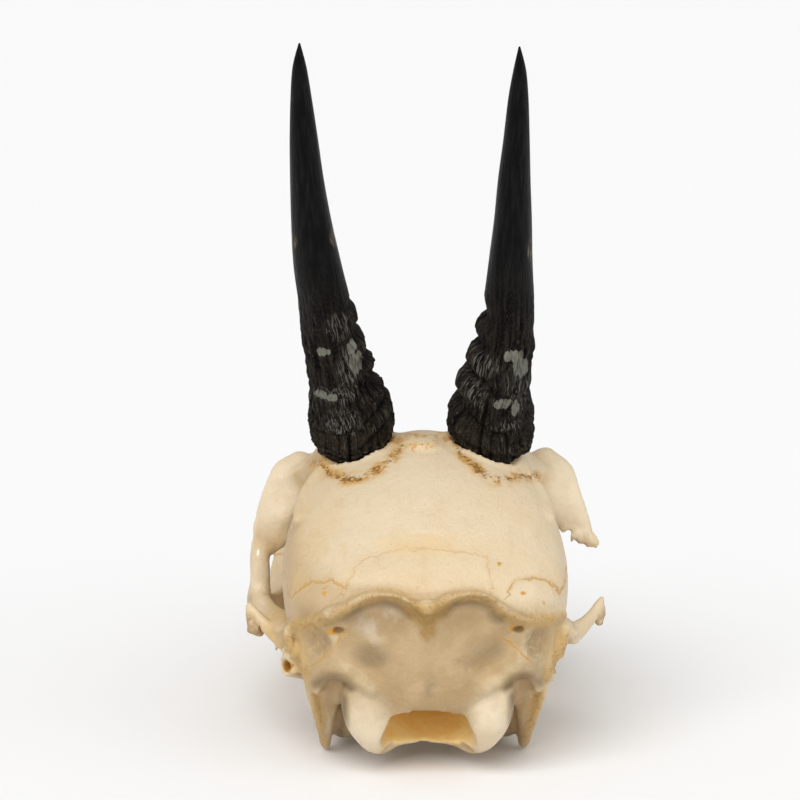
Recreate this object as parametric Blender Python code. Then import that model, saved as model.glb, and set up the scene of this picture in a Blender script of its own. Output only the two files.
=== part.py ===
"""The skull of a common duiker: one piece of bone, two horn sheaths and twelve upper cheek teeth.

The snout points along +Y, +X is the animal's right and Z is up. The skull stands as it
rests on a table: on the tips of the processes beside the condyles and on its cheek teeth.
Tables are in millimetres with x = 0 in the middle of the skull, y = 0 at its rear end and
z = 0 on the table. MM turns them into metres, and at the end the whole is centred.
"""

import math

import bmesh
import bpy
from mathutils import Matrix, Vector

MM = 0.001
GAP = 0.3  # between pieces that touch
LEFT = -1
RIGHT = 1

# The brain case and the face, from the occiput forward. Each row is one cross-section:
# y, half width, height of the widest point, top, bottom, fullness above, fullness below.
BODY = (
    (5.6, 12.0, 27.5, 36.0, 18.0, 2.2, 2.0),
    (7.0, 18.5, 27.5, 39.2, 14.2, 2.3, 2.0),
    (10.0, 23.5, 28.5, 42.6, 10.6, 2.3, 2.0),
    (14.0, 26.4, 31.0, 45.4, 8.0, 2.2, 2.1),
    (20.0, 28.4, 34.5, 49.4, 7.0, 2.1, 2.1),
    (28.0, 29.2, 37.0, 54.0, 8.0, 2.05, 2.1),
    (36.0, 28.6, 38.5, 57.6, 10.5, 2.05, 2.0),
    (44.0, 26.4, 40.0, 60.4, 13.0, 2.1, 2.0),
    (52.0, 22.6, 42.0, 61.9, 15.5, 2.1, 1.9),
    (60.0, 18.6, 43.0, 61.3, 18.0, 2.1, 1.8),
    (68.0, 15.4, 43.0, 59.9, 20.0, 2.0, 1.8),
    (76.0, 14.8, 41.0, 58.2, 20.5, 2.0, 2.0),
    (84.0, 20.0, 38.0, 56.0, 16.0, 2.2, 2.6),
    (90.0, 25.0, 35.5, 54.2, 12.5, 2.3, 3.0),
    (96.0, 25.8, 32.5, 52.0, 11.6, 2.1, 3.2),
    (103.0, 23.4, 28.5, 49.2, 11.2, 1.9, 3.2),
    (111.0, 20.4, 25.5, 46.0, 11.2, 1.85, 3.2),
    (120.0, 17.2, 23.5, 42.4, 11.2, 1.9, 3.0),
    (130.0, 14.0, 22.0, 38.6, 11.4, 2.0, 2.8),
    (140.0, 11.4, 20.5, 35.0, 11.8, 2.1, 2.6),
)
BODY_POINTS = 40

# The shelf of the frontal bones over the eyes: y, half width, middle height, half thickness.
FRONTAL_SHELF = (
    (46.0, 16.0, 55.6, 3.0),
    (50.0, 22.0, 54.0, 3.8),
    (56.0, 27.4, 53.0, 4.2),
    (62.0, 30.0, 53.0, 3.4),
    (70.0, 29.6, 54.4, 3.0),
    (78.0, 28.2, 53.8, 2.8),
    (86.0, 26.4, 51.8, 2.8),
    (93.0, 24.4, 48.8, 3.0),
    (99.0, 19.0, 46.4, 3.0),
)

# Bars, ridges and processes as paths of flattened sections: x, y, z, half width, half depth.
# The half width is measured along the direction named with the path.
NUCHAL_CREST = (
    (0.0, 5.0, 35.0, 3.4, 1.9),
    (4.5, 5.8, 37.6, 3.8, 1.5),
    (9.0, 6.2, 38.4, 4.0, 1.4),
    (13.5, 7.4, 37.2, 3.8, 1.4),
    (18.0, 9.6, 34.6, 3.6, 1.5),
    (22.4, 12.2, 32.8, 3.4, 1.7),
    (26.0, 15.6, 31.2, 3.0, 2.2),
)
OCCIPITAL_KEEL = (
    (0.0, 5.2, 35.0, 1.6, 2.0),
    (0.0, 6.4, 28.0, 1.3, 1.8),
    (0.0, 7.6, 20.0, 1.2, 1.6),
)
PAROCCIPITAL = (
    (22.6, 19.0, 23.0, 4.6, 3.0),
    (22.2, 21.5, 17.0, 5.0, 2.7),
    (21.8, 25.0, 11.0, 4.4, 2.4),
    (21.3, 28.0, 5.4, 3.2, 2.2),
    (20.5, 30.2, 0.9, 2.2, 1.7),
)
CONDYLE = (
    (14.6, 10.2, 17.6, 3.0, 2.6),
    (14.1, 10.0, 13.6, 3.9, 4.2),
    (12.8, 12.4, 9.6, 4.5, 4.7),
    (10.9, 16.2, 6.0, 4.2, 4.4),
    (8.8, 20.2, 4.5, 3.0, 3.0),
)
SKULL_BASE = (
    (0.0, 19.5, 6.3, 9.4, 2.0),
    (0.0, 28.0, 7.9, 7.6, 2.7),
    (0.0, 40.0, 11.4, 6.2, 3.0),
    (0.0, 52.0, 15.8, 5.6, 3.2),
    (0.0, 64.0, 20.4, 5.4, 3.0),
    (0.0, 76.0, 23.4, 6.0, 3.0),
)
BULLA = (
    (16.4, 29.0, 10.6, 3.4, 4.2),
    (16.4, 33.0, 9.8, 5.8, 7.6),
    (16.2, 37.5, 9.6, 6.4, 8.5),
    (15.6, 42.0, 10.6, 5.4, 7.2),
    (14.4, 46.5, 12.6, 3.0, 4.0),
)
LEFT_EAR_TUBE = (
    (17.0, 34.0, 14.6, 3.6, 3.6),
    (23.2, 30.6, 16.8, 3.2, 3.4),
    (27.4, 27.4, 18.4, 2.9, 3.3),
)
RIGHT_EAR_TUBE = (
    (17.0, 34.0, 14.6, 3.6, 3.6),
    (21.6, 31.4, 16.2, 3.2, 3.4),
    (24.4, 29.6, 17.2, 2.9, 3.2),
)
EAR_HOLE_RADIUS = 1.4
EAR_HOLE_DEPTH = 4.0
LEFT_CHEEK_ROOT = (
    (23.0, 26.0, 26.0, 6.0, 3.4),
    (28.4, 30.4, 24.6, 5.2, 2.7),
    (32.4, 36.0, 24.6, 4.0, 3.0),
    (34.4, 43.0, 25.0, 2.4, 3.3),
    (35.0, 50.0, 25.0, 2.0, 3.3),
)
RIGHT_CHEEK_ROOT = (
    (23.0, 26.0, 25.4, 6.0, 3.4),
    (28.8, 29.8, 23.9, 4.6, 2.1),
    (33.2, 35.0, 25.1, 3.2, 1.8),
    (35.9, 39.4, 27.0, 2.1, 2.1),
    (36.9, 42.6, 26.6, 1.5, 2.9),
)
JAW_JOINT = (
    (21.0, 36.0, 20.4, 4.6, 2.6),
    (25.6, 38.4, 21.4, 4.8, 2.4),
    (29.6, 40.0, 22.8, 3.8, 2.2),
)
LEFT_CHEEKBONE = (
    (35.0, 47.0, 25.0, 1.9, 3.2),
    (35.2, 55.0, 24.8, 2.0, 3.4),
    (34.9, 64.0, 24.0, 2.2, 3.9),
    (33.4, 73.0, 22.4, 2.4, 4.5),
    (31.0, 82.0, 21.2, 2.8, 5.2),
    (27.8, 90.0, 21.2, 3.6, 6.2),
    (23.6, 98.0, 21.6, 4.2, 6.8),
)
RIGHT_CHEEKBONE = (
    (29.8, 79.5, 22.0, 1.4, 3.0),
    (29.4, 83.0, 21.6, 2.4, 5.0),
    (27.6, 90.0, 21.2, 3.6, 6.2),
    (23.6, 98.0, 21.6, 4.2, 6.8),
)
LEFT_EYE_BAR = (
    (25.6, 62.6, 53.0, 6.8, 2.8),
    (28.6, 61.6, 49.8, 5.9, 2.4),
    (30.9, 60.8, 45.4, 5.0, 2.1),
    (32.1, 60.0, 40.8, 3.8, 1.9),
    (33.8, 59.4, 36.8, 2.4, 1.9),
    (34.5, 59.2, 32.0, 2.1, 2.0),
    (34.8, 59.0, 27.4, 2.4, 2.6),
)
RIGHT_EYE_BAR = (
    (26.2, 62.6, 53.0, 6.8, 2.8),
    (29.5, 61.6, 49.8, 5.4, 2.4),
    (32.0, 60.8, 45.6, 4.4, 2.1),
    (34.0, 60.0, 41.4, 3.2, 1.8),
    (35.4, 59.6, 38.6, 2.2, 1.5),
)
EYE_RIM_FRONT = (
    (25.0, 84.0, 50.4, 3.0, 2.6),
    (25.4, 91.0, 46.4, 3.4, 3.0),
    (26.2, 94.6, 40.0, 3.4, 2.8),
    (27.4, 94.0, 32.0, 3.4, 2.8),
    (28.6, 89.0, 25.6, 3.4, 3.0),
)
UPPER_JAW = (
    (16.6, 66.0, 13.4, 3.4, 4.2),
    (17.2, 71.0, 14.0, 5.2, 6.6),
    (17.6, 80.0, 15.4, 6.2, 8.4),
    (17.4, 90.0, 16.4, 6.2, 9.4),
    (16.2, 100.0, 15.4, 5.6, 8.4),
    (14.4, 111.0, 14.0, 4.6, 6.8),
    (12.6, 121.0, 13.4, 3.6, 5.4),
    (11.4, 128.0, 14.2, 2.4, 3.6),
)
PTERYGOID = (
    (8.2, 60.0, 16.8, 1.4, 4.2),
    (8.4, 66.0, 15.4, 1.5, 5.8),
    (8.8, 74.0, 15.6, 1.6, 5.8),
    (9.8, 83.0, 15.2, 2.0, 5.2),
    (11.0, 90.0, 15.0, 2.4, 4.4),
)
NASALS = (
    (0.0, 118.0, 41.6, 9.0, 2.4),
    (0.0, 130.0, 37.6, 8.4, 2.0),
    (0.0, 140.0, 34.2, 7.4, 1.7),
    (0.0, 147.0, 31.4, 5.6, 1.4),
    (0.0, 150.5, 29.8, 3.4, 1.1),
)
PREMAXILLA = (
    (12.2, 130.0, 22.0, 1.8, 7.6),
    (10.9, 140.0, 20.0, 1.5, 6.6),
    (9.9, 149.0, 17.2, 1.4, 4.4),
    (8.7, 157.0, 15.0, 1.5, 2.7),
    (6.8, 164.0, 13.9, 2.0, 1.9),
    (4.4, 167.6, 13.8, 2.4, 1.5),
)
PALATE_TONGUE = (
    (0.0, 134.0, 12.8, 6.0, 1.4),
    (0.0, 144.0, 12.8, 4.4, 1.4),
    (0.0, 152.0, 12.8, 2.6, 1.4),
    (0.0, 160.0, 13.2, 2.8, 1.3),
    (0.0, 165.0, 13.6, 4.2, 1.3),
)
PEDICLE = (
    (13.6, 54.0, 55.0, 10.2, 11.0),
    (14.1, 52.4, 59.0, 9.6, 10.4),
    (14.7, 50.8, 62.6, 8.6, 9.4),
)

# Hollows, with the same columns as the paths.
NECK_CANAL = (
    (0.0, 1.0, 3.9, 9.0, 6.6),
    (0.0, 12.0, 8.6, 9.2, 6.7),
    (0.0, 22.0, 13.9, 9.6, 6.9),
    (0.0, 31.0, 20.0, 11.0, 9.2),
    (0.0, 38.0, 28.0, 10.0, 8.0),
)
BRAIN_HOLLOW = (
    (0.0, 14.5, 30.0, 10.0, 8.0),
    (0.0, 19.0, 31.5, 18.0, 13.4),
    (0.0, 27.0, 33.5, 22.6, 17.0),
    (0.0, 36.0, 35.5, 22.4, 17.8),
    (0.0, 45.0, 37.5, 18.6, 16.6),
    (0.0, 54.0, 40.0, 10.0, 10.0),
)
NOSE_HOLLOW = (
    (0.0, 156.0, 22.4, 7.4, 7.6),
    (0.0, 146.0, 22.6, 8.2, 8.2),
    (0.0, 136.0, 24.4, 9.6, 10.2),
    (0.0, 124.0, 26.4, 12.0, 12.4),
    (0.0, 112.0, 28.4, 13.4, 14.4),
    (0.0, 103.0, 29.8, 12.6, 14.0),
    (0.0, 97.0, 29.6, 8.0, 10.0),
)
THROAT_HOLLOW = (
    (0.0, 74.0, 15.4, 6.8, 4.4),
    (0.0, 84.0, 16.6, 6.8, 4.0),
    (0.0, 94.0, 20.0, 6.8, 5.0),
    (0.0, 104.0, 24.0, 8.0, 7.0),
)
EYE_CENTRE = (35.0, 78.4, 39.2)
EYE_RADII = (21.4, 17.0, 16.6)

# Horns: the middle line of each from the bottom rim to the tip, x, y, z, then its radius
# across, its radius from front to back, and how far the growth rings bulge inwards.
LEFT_HORN = (
    (14.3, 53.6, 58.6, 8.3, 10.0, 0.0),
    (14.6, 52.2, 61.8, 8.8, 10.5, 0.0),
    (14.9, 50.3, 66.6, 8.7, 9.6, 0.1),
    (15.6, 48.8, 70.1, 8.0, 8.8, 0.2),
    (16.2, 48.0, 72.0, 7.4, 8.3, 1.4),
    (16.6, 47.0, 74.2, 7.1, 7.8, 0.4),
    (17.3, 46.0, 76.6, 6.8, 7.5, 1.2),
    (17.9, 44.7, 79.2, 6.2, 6.9, 0.0),
    (18.6, 43.1, 82.7, 6.2, 6.8, 1.1),
    (19.4, 41.3, 86.7, 5.8, 6.4, 0.0),
    (19.9, 40.0, 89.6, 5.6, 6.2, 0.7),
    (20.7, 38.0, 94.0, 5.2, 5.8, 0.0),
    (22.0, 34.7, 101.5, 4.8, 5.3, 0.0),
    (23.1, 30.8, 110.3, 4.05, 4.5, 0.0),
    (23.9, 26.9, 118.8, 3.4, 3.8, 0.0),
    (24.5, 23.2, 127.3, 2.85, 3.1, 0.0),
    (25.0, 19.4, 135.7, 2.15, 2.3, 0.0),
    (25.3, 16.4, 142.4, 1.4, 1.5, 0.0),
    (25.3, 14.0, 147.8, 0.2, 0.2, 0.0),
)
RIGHT_HORN = (
    (14.3, 53.6, 58.6, 8.3, 10.0, 0.0),
    (14.6, 52.2, 61.8, 8.8, 10.5, 0.0),
    (14.7, 50.5, 66.2, 8.8, 9.6, 0.0),
    (15.0, 48.8, 70.0, 7.5, 8.7, 0.4),
    (15.4, 47.1, 73.8, 7.2, 8.0, 1.1),
    (16.3, 45.8, 76.8, 6.2, 7.2, 0.0),
    (16.5, 44.3, 80.0, 6.1, 6.9, 1.2),
    (17.1, 42.7, 83.6, 5.6, 6.5, 0.0),
    (17.3, 41.5, 86.3, 5.4, 6.2, 1.3),
    (17.5, 40.3, 89.0, 5.25, 6.0, 0.0),
    (17.5, 38.4, 93.2, 5.1, 5.7, 0.2),
    (17.6, 34.8, 101.4, 4.45, 5.0, 0.0),
    (17.8, 30.9, 110.1, 3.85, 4.3, 0.0),
    (17.8, 27.0, 118.7, 3.3, 3.6, 0.0),
    (18.0, 23.2, 127.2, 2.65, 2.9, 0.0),
    (18.1, 19.5, 135.6, 2.05, 2.2, 0.0),
    (18.2, 16.8, 141.6, 1.3, 1.4, 0.0),
    (18.0, 14.6, 146.5, 0.2, 0.2, 0.0),
)
HORN_POINTS = 16
SHEATH_WALL = 1.9
THINNEST_TIP = 0.15
RING_SPREAD = 1.5  # how narrowly the growth rings bulge towards the other horn
CORE_ROWS = (0, 2, 5, 8, 11)  # the rows of the horn tables that shape the bony core
CORE_ROOT = (-0.4, 2.4, -6.0)  # from the sheath's rim down into the frontal bone
SEAT_ROWS = 6  # the rows of the horn tables that press their shape into the bone

# Cheek teeth: name, x, y, half width, half length. All of them stand on z = 0.
TEETH = (
    ("premolar_2", 12.3, 119.2, 2.6, 2.9),
    ("premolar_3", 13.2, 112.7, 3.0, 3.2),
    ("premolar_4", 14.3, 105.9, 3.6, 3.2),
    ("molar_1", 15.8, 97.9, 4.2, 4.3),
    ("molar_2", 16.9, 88.3, 4.6, 4.8),
    ("molar_3", 17.3, 78.0, 4.5, 5.0),
)
TOOTH_LEVELS = ((11.0, 0.72), (8.6, 0.86), (5.0, 0.96), (1.2, 1.0), (0.0, 0.9))  # height, width
TOOTH_SQUARENESS = 0.7
TOOTH_POINTS = 8
SOCKET_LEVELS = 3

# The rounded ends of bars and processes: how far they reach, and their size.
END_REACH = 0.6
END_SIZE = 0.55

BODY_VOXEL = 1.1
BODY_TRIANGLES = 4500
SHARP_ANGLE = 50


def clear_scene():
    """Removes every object, so that only the skull is left."""
    for obj in list(bpy.data.objects):
        bpy.data.objects.remove(obj)


def blend_rows(rows, steps):
    """Smooth rows between the given ones, as a Catmull-Rom curve through them."""
    out = []
    last = len(rows) - 1
    for i in range(last):
        before = rows[max(i - 1, 0)]
        after = rows[min(i + 2, last)]
        for k in range(steps):
            t = k / steps
            row = []
            for a, b, c, d in zip(before, rows[i], rows[i + 1], after):
                row.append(
                    0.5 * (2 * b + (c - a) * t + (2 * a - 5 * b + 4 * c - d) * t * t
                           + (3 * b - a - 3 * c + d) * t * t * t)
                )
            out.append(tuple(row))
    out.append(tuple(rows[last]))
    return out


def loft(name, rings):
    """A closed mesh object through rings of points in millimetres."""
    bm = bmesh.new()
    loops = [[bm.verts.new(point * MM) for point in ring] for ring in rings]
    for low, high in zip(loops, loops[1:]):
        count = len(low)
        for i in range(count):
            j = (i + 1) % count
            bm.faces.new((low[i], low[j], high[j], high[i]))
    bm.faces.new(loops[0])
    bm.faces.new(loops[-1])
    bmesh.ops.recalc_face_normals(bm, faces=bm.faces)
    mesh = bpy.data.meshes.new(name)
    bm.to_mesh(mesh)
    bm.free()
    obj = bpy.data.objects.new(name, mesh)
    bpy.context.collection.objects.link(obj)
    return obj


def sweep(name, rows, wide, side=RIGHT, points=14, steps=2, round_ends=True):
    """A bar along a path of flattened sections, mirrored to the left where side is LEFT."""
    rows = blend_rows(rows, steps)
    centres = [Vector((row[0], row[1], row[2])) for row in rows]
    wide = Vector(wide)
    rings = []
    last = len(rows) - 1
    for i, row in enumerate(rows):
        along = (centres[min(i + 1, last)] - centres[max(i - 1, 0)]).normalized()
        u = (wide - along * wide.dot(along)).normalized()
        v = along.cross(u)
        reach = along * min(row[3:5]) * END_REACH
        if round_ends and i == 0:
            rings.append(section(centres[i] - reach, u, v, row, END_SIZE, points))
        rings.append(section(centres[i], u, v, row, 1.0, points))
        if round_ends and i == last:
            rings.append(section(centres[i] + reach, u, v, row, END_SIZE, points))
    if side == LEFT:
        rings = [[Vector((-p.x, p.y, p.z)) for p in ring] for ring in rings]
    return loft(name, rings)


def section(centre, u, v, row, scale, points):
    """One elliptical ring of a bar."""
    ring = []
    for k in range(points):
        angle = 2 * math.pi * k / points
        ring.append(centre + u * row[3] * scale * math.cos(angle) + v * row[4] * scale * math.sin(angle))
    return ring


def signed_power(value, power):
    """A power that keeps the sign, for the fullness of a section."""
    return math.copysign(abs(value) ** power, value)


def body_mesh():
    """The brain case and the face as one tapering body."""
    rings = []
    for y, half, middle, top, bottom, above, below in blend_rows(BODY, 3):
        ring = []
        for k in range(BODY_POINTS):
            angle = 2 * math.pi * k / BODY_POINTS
            up = math.sin(angle) >= 0
            power = 2 / (above if up else below)
            reach = top - middle if up else middle - bottom
            x = half * signed_power(math.cos(angle), power)
            z = middle + reach * signed_power(math.sin(angle), power)
            ring.append(Vector((x, y, z)))
        rings.append(ring)
    return loft("body", rings)


def frontal_shelf():
    """The flat shelf of bone over both eyes."""
    rows = [(0.0, y, z, half, thick) for y, half, z, thick in FRONTAL_SHELF]
    return sweep("frontal shelf", rows, (1, 0, 0), points=24)


def bone_pieces():
    """Every solid that is fused into the skull, as separate overlapping objects."""
    pieces = [body_mesh(), frontal_shelf()]
    pieces.append(sweep("occipital keel", OCCIPITAL_KEEL, (1, 0, 0)))
    pieces.append(sweep("skull base", SKULL_BASE, (1, 0, 0)))
    pieces.append(sweep("nasals", NASALS, (1, 0, 0)))
    pieces.append(sweep("palate tongue", PALATE_TONGUE, (1, 0, 0)))
    for side in (LEFT, RIGHT):
        pieces.append(sweep("nuchal crest", NUCHAL_CREST, (0, -1, 0.15), side))
        pieces.append(sweep("paroccipital process", PAROCCIPITAL, (0, 1, 0), side))
        pieces.append(sweep("condyle", CONDYLE, (1, 0, 0), side))
        pieces.append(sweep("bulla", BULLA, (1, 0, 0), side))
        pieces.append(sweep("jaw joint", JAW_JOINT, (0, 1, 0), side))
        pieces.append(sweep("front of eye rim", EYE_RIM_FRONT, (1, 0.3, 0), side))
        pieces.append(sweep("upper jaw", UPPER_JAW, (1, 0, 0), side))
        pieces.append(sweep("pterygoid", PTERYGOID, (1, 0, 0), side))
        pieces.append(sweep("premaxilla", PREMAXILLA, (1, 0, 0), side))
        pieces.append(sweep("pedicle", PEDICLE, (1, 0, 0), side))
    pieces.append(sweep("left ear tube", LEFT_EAR_TUBE, (0, 1, 0), LEFT))
    pieces.append(sweep("right ear tube", RIGHT_EAR_TUBE, (0, 1, 0), RIGHT))
    pieces.append(sweep("left cheek root", LEFT_CHEEK_ROOT, (1, 1, 0), LEFT))
    pieces.append(sweep("right cheek root", RIGHT_CHEEK_ROOT, (1, 1, 0), RIGHT))
    pieces.append(sweep("left cheekbone", LEFT_CHEEKBONE, (1, 0, 0), LEFT))
    pieces.append(sweep("right cheekbone", RIGHT_CHEEKBONE, (1, 0, 0), RIGHT))
    pieces.append(sweep("left eye bar", LEFT_EYE_BAR, (1, 0, 0), LEFT))
    pieces.append(sweep("right eye bar", RIGHT_EYE_BAR, (1, 0, 0), RIGHT))
    return pieces


def join(name, pieces):
    """All pieces as one object of that name."""
    bm = bmesh.new()
    for piece in pieces:
        bm.from_mesh(piece.data)
        bpy.data.objects.remove(piece)
    mesh = bpy.data.meshes.new(name)
    bm.to_mesh(mesh)
    bm.free()
    obj = bpy.data.objects.new(name, mesh)
    bpy.context.collection.objects.link(obj)
    return obj


def bake(obj):
    """The object's modifiers, applied to its mesh."""
    graph = bpy.context.evaluated_depsgraph_get()
    mesh = bpy.data.meshes.new_from_object(obj.evaluated_get(graph))
    obj.modifiers.clear()
    obj.data = mesh


def fuse(obj):
    """Melts the overlapping solids into one skin, smooths it and thins its triangles."""
    remesh = obj.modifiers.new("melt together", "REMESH")
    remesh.mode = "VOXEL"
    remesh.voxel_size = BODY_VOXEL * MM
    smooth = obj.modifiers.new("soften", "SMOOTH")
    smooth.factor = 0.5
    smooth.iterations = 3
    bake(obj)
    count = sum(len(face.vertices) - 2 for face in obj.data.polygons)
    thin = obj.modifiers.new("thin", "DECIMATE")
    thin.ratio = BODY_TRIANGLES / count
    bake(obj)


def cut(obj, cutter, operation="DIFFERENCE"):
    """Cuts the cutter out of the object, or adds it."""
    modifier = obj.modifiers.new(cutter.name, "BOOLEAN")
    modifier.operation = operation
    modifier.solver = "EXACT"
    modifier.object = cutter
    bpy.context.view_layer.update()
    bake(obj)
    bpy.data.objects.remove(cutter)


def eye_hollow(side):
    """The round hollow of one eye."""
    bm = bmesh.new()
    bmesh.ops.create_uvsphere(bm, u_segments=16, v_segments=10, radius=1.0)
    for vert in bm.verts:
        vert.co = Vector((
            (side * EYE_CENTRE[0] + vert.co.x * EYE_RADII[0]) * MM,
            (EYE_CENTRE[1] + vert.co.y * EYE_RADII[1]) * MM,
            (EYE_CENTRE[2] + vert.co.z * EYE_RADII[2]) * MM,
        ))
    mesh = bpy.data.meshes.new("eye hollow")
    bm.to_mesh(mesh)
    bm.free()
    obj = bpy.data.objects.new("eye hollow", mesh)
    bpy.context.collection.objects.link(obj)
    return obj


def horn_rings(rows, side, grow):
    """The rings of a horn, grown outwards by grow millimetres."""
    centres = [Vector((row[0], row[1], row[2])) for row in rows]
    last = len(rows) - 1
    rings = []
    for i, row in enumerate(rows):
        along = (centres[min(i + 1, last)] - centres[max(i - 1, 0)]).normalized()
        u = (Vector((1, 0, 0)) - along * along.x).normalized()
        v = along.cross(u)
        ring = []
        for k in range(HORN_POINTS):
            angle = 2 * math.pi * k / HORN_POINTS
            inwards = max(0.0, -math.cos(angle)) ** RING_SPREAD
            across = max(row[3] + grow, THINNEST_TIP) + row[5] * inwards
            deep = max(row[4] + grow, THINNEST_TIP) + row[5] * inwards
            point = centres[i] + u * across * math.cos(angle) + v * deep * math.sin(angle)
            ring.append(Vector((side * point.x, point.y, point.z)))
        rings.append(ring)
    return rings


def core_rows(rows):
    """The rows that shape a horn's bore and core, without its growth rings, from inside the bone."""
    start = rows[0]
    root = tuple(start[i] + CORE_ROOT[i] for i in range(3)) + start[3:5] + (0.0,)
    return [root] + [rows[i][:5] + (0.0,) for i in CORE_ROWS]


def ear_hole(tube, side):
    """The hole in the end of one ear tube."""
    inner = Vector(tube[1][:3])
    outer = Vector(tube[2][:3])
    out = (outer - inner).normalized()
    rows = []
    for distance in (-EAR_HOLE_DEPTH, 0.0, EAR_HOLE_DEPTH):
        place = outer + out * distance
        rows.append((place.x, place.y, place.z, EAR_HOLE_RADIUS, EAR_HOLE_RADIUS))
    return sweep("ear hole", rows, (0, 1, 0), side, points=8, steps=1, round_ends=False)


def horn_core(rows, side):
    """The bony core that stands inside the sheath."""
    return loft("core", horn_rings(core_rows(rows), side, -SHEATH_WALL - GAP))


def horn_sheath(name, rows, side):
    """One keratin sheath, open below, with a bore for the core."""
    sheath = loft(name, horn_rings(rows, side, 0.0))
    top = Vector(rows[CORE_ROWS[-1]][:3])
    tip = Vector(rows[CORE_ROWS[-1] + 1][:3])
    end = top + (tip - top).normalized() * 2 * GAP
    above = (end.x, end.y, end.z) + rows[CORE_ROWS[-1]][3:5] + (0.0,)
    cut(sheath, loft("bore", horn_rings(core_rows(rows) + [above], side, -SHEATH_WALL)))
    return sheath


def tooth_rings(x, y, half, length, grow):
    """The rings of a tooth, from its root in the jaw to its worn crown."""
    rings = []
    for level, (z, scale) in enumerate(TOOTH_LEVELS[:SOCKET_LEVELS] if grow else TOOTH_LEVELS):
        if level == 0:
            z += grow
        ring = []
        for k in range(TOOTH_POINTS):
            angle = 2 * math.pi * k / TOOTH_POINTS
            across = (half * scale + grow) * signed_power(math.cos(angle), TOOTH_SQUARENESS)
            along = (length * scale + grow) * signed_power(math.sin(angle), TOOTH_SQUARENESS)
            ring.append(Vector((x + across, y + along, z)))
        rings.append(ring)
    return rings


def material(name, colour, roughness):
    """A plain material of that colour."""
    made = bpy.data.materials.new(name)
    made.use_nodes = True
    shader = made.node_tree.nodes["Principled BSDF"]
    shader.inputs["Base Color"].default_value = (*colour, 1.0)
    shader.inputs["Roughness"].default_value = roughness
    shader.inputs["Metallic"].default_value = 0.0
    return made


def finish(obj, made):
    """Gives an object its material and smooth shading with crisp edges."""
    obj.data.materials.clear()
    obj.data.materials.append(made)
    obj.data.shade_smooth()
    obj.data.set_sharp_from_angle(angle=math.radians(SHARP_ANGLE))


def stand_on_origin():
    """Moves every mesh so that the origin is below the middle of the whole, on the table."""
    meshes = [obj.data for obj in bpy.data.objects]
    points = [vert.co for mesh in meshes for vert in mesh.vertices]
    low = Vector([min(point[i] for point in points) for i in range(3)])
    high = Vector([max(point[i] for point in points) for i in range(3)])
    shift = Vector((-(low.x + high.x) / 2, -(low.y + high.y) / 2, -low.z))
    for mesh in meshes:
        mesh.transform(Matrix.Translation(shift))


def main():
    clear_scene()
    bone = material("bone", (0.71, 0.60, 0.42), 0.45)
    horn = material("horn", (0.030, 0.027, 0.024), 0.5)
    enamel = material("tooth enamel", (0.78, 0.72, 0.58), 0.3)

    skull = join("skull", bone_pieces())
    fuse(skull)
    cut(skull, sweep("brain hollow", BRAIN_HOLLOW, (1, 0, 0), points=14, steps=1))
    cut(skull, sweep("neck canal", NECK_CANAL, (1, 0, 0), points=16, steps=1, round_ends=False))
    cut(skull, sweep("nose hollow", NOSE_HOLLOW, (1, 0, 0), points=14, steps=1))
    cut(skull, sweep("throat hollow", THROAT_HOLLOW, (1, 0, 0), points=10, steps=1))
    for side in (LEFT, RIGHT):
        cut(skull, eye_hollow(side))
        cut(skull, ear_hole(LEFT_EAR_TUBE if side == LEFT else RIGHT_EAR_TUBE, side))
        rows = LEFT_HORN if side == LEFT else RIGHT_HORN
        cut(skull, loft("sheath seat", horn_rings(rows[:SEAT_ROWS], side, GAP)))
        cut(skull, horn_core(rows, side), "UNION")
        for name, x, y, half, length in TEETH:
            cut(skull, loft("socket", tooth_rings(side * x, y, half, length, GAP)))
            word = "left" if side == LEFT else "right"
            tooth = loft(word + "_" + name, tooth_rings(side * x, y, half, length, 0.0))
            finish(tooth, enamel)
    finish(skull, bone)
    finish(horn_sheath("left_horn_sheath", LEFT_HORN, LEFT), horn)
    finish(horn_sheath("right_horn_sheath", RIGHT_HORN, RIGHT), horn)
    stand_on_origin()


main()
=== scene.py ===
"""The looks of a common duiker skull: one carved bone mesh, two horn sheaths and twelve teeth.

The skull is carved as a field of distances on a grid, in the table's millimetres: x = 0 in the
middle of the skull, y = 0 at its rear, z = 0 on the table. Every piece is then moved to where
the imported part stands.
"""

import math

import bmesh
import bpy
import numpy as np
from mathutils import Matrix, Vector


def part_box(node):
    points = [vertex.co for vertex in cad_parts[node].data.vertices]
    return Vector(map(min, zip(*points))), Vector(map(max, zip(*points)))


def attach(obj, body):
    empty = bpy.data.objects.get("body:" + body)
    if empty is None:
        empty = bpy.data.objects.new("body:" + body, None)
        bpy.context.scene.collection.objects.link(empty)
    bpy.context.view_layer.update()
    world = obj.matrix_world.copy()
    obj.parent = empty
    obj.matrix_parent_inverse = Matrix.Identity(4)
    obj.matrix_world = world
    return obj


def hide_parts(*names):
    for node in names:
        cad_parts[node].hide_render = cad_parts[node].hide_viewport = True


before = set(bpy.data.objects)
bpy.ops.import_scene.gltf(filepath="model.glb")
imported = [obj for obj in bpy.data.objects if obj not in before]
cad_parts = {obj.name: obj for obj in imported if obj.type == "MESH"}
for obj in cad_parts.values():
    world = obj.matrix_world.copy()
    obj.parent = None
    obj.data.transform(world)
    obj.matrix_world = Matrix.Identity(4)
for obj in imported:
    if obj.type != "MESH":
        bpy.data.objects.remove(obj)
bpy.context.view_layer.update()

MM = 0.001
LEFT = -1
RIGHT = 1
WORDS = {LEFT: "left", RIGHT: "right"}
ACROSS = (1, 0, 0)
ALONG = (0, 1, 0)
UPWARDS = (0, 0, 1)

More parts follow.
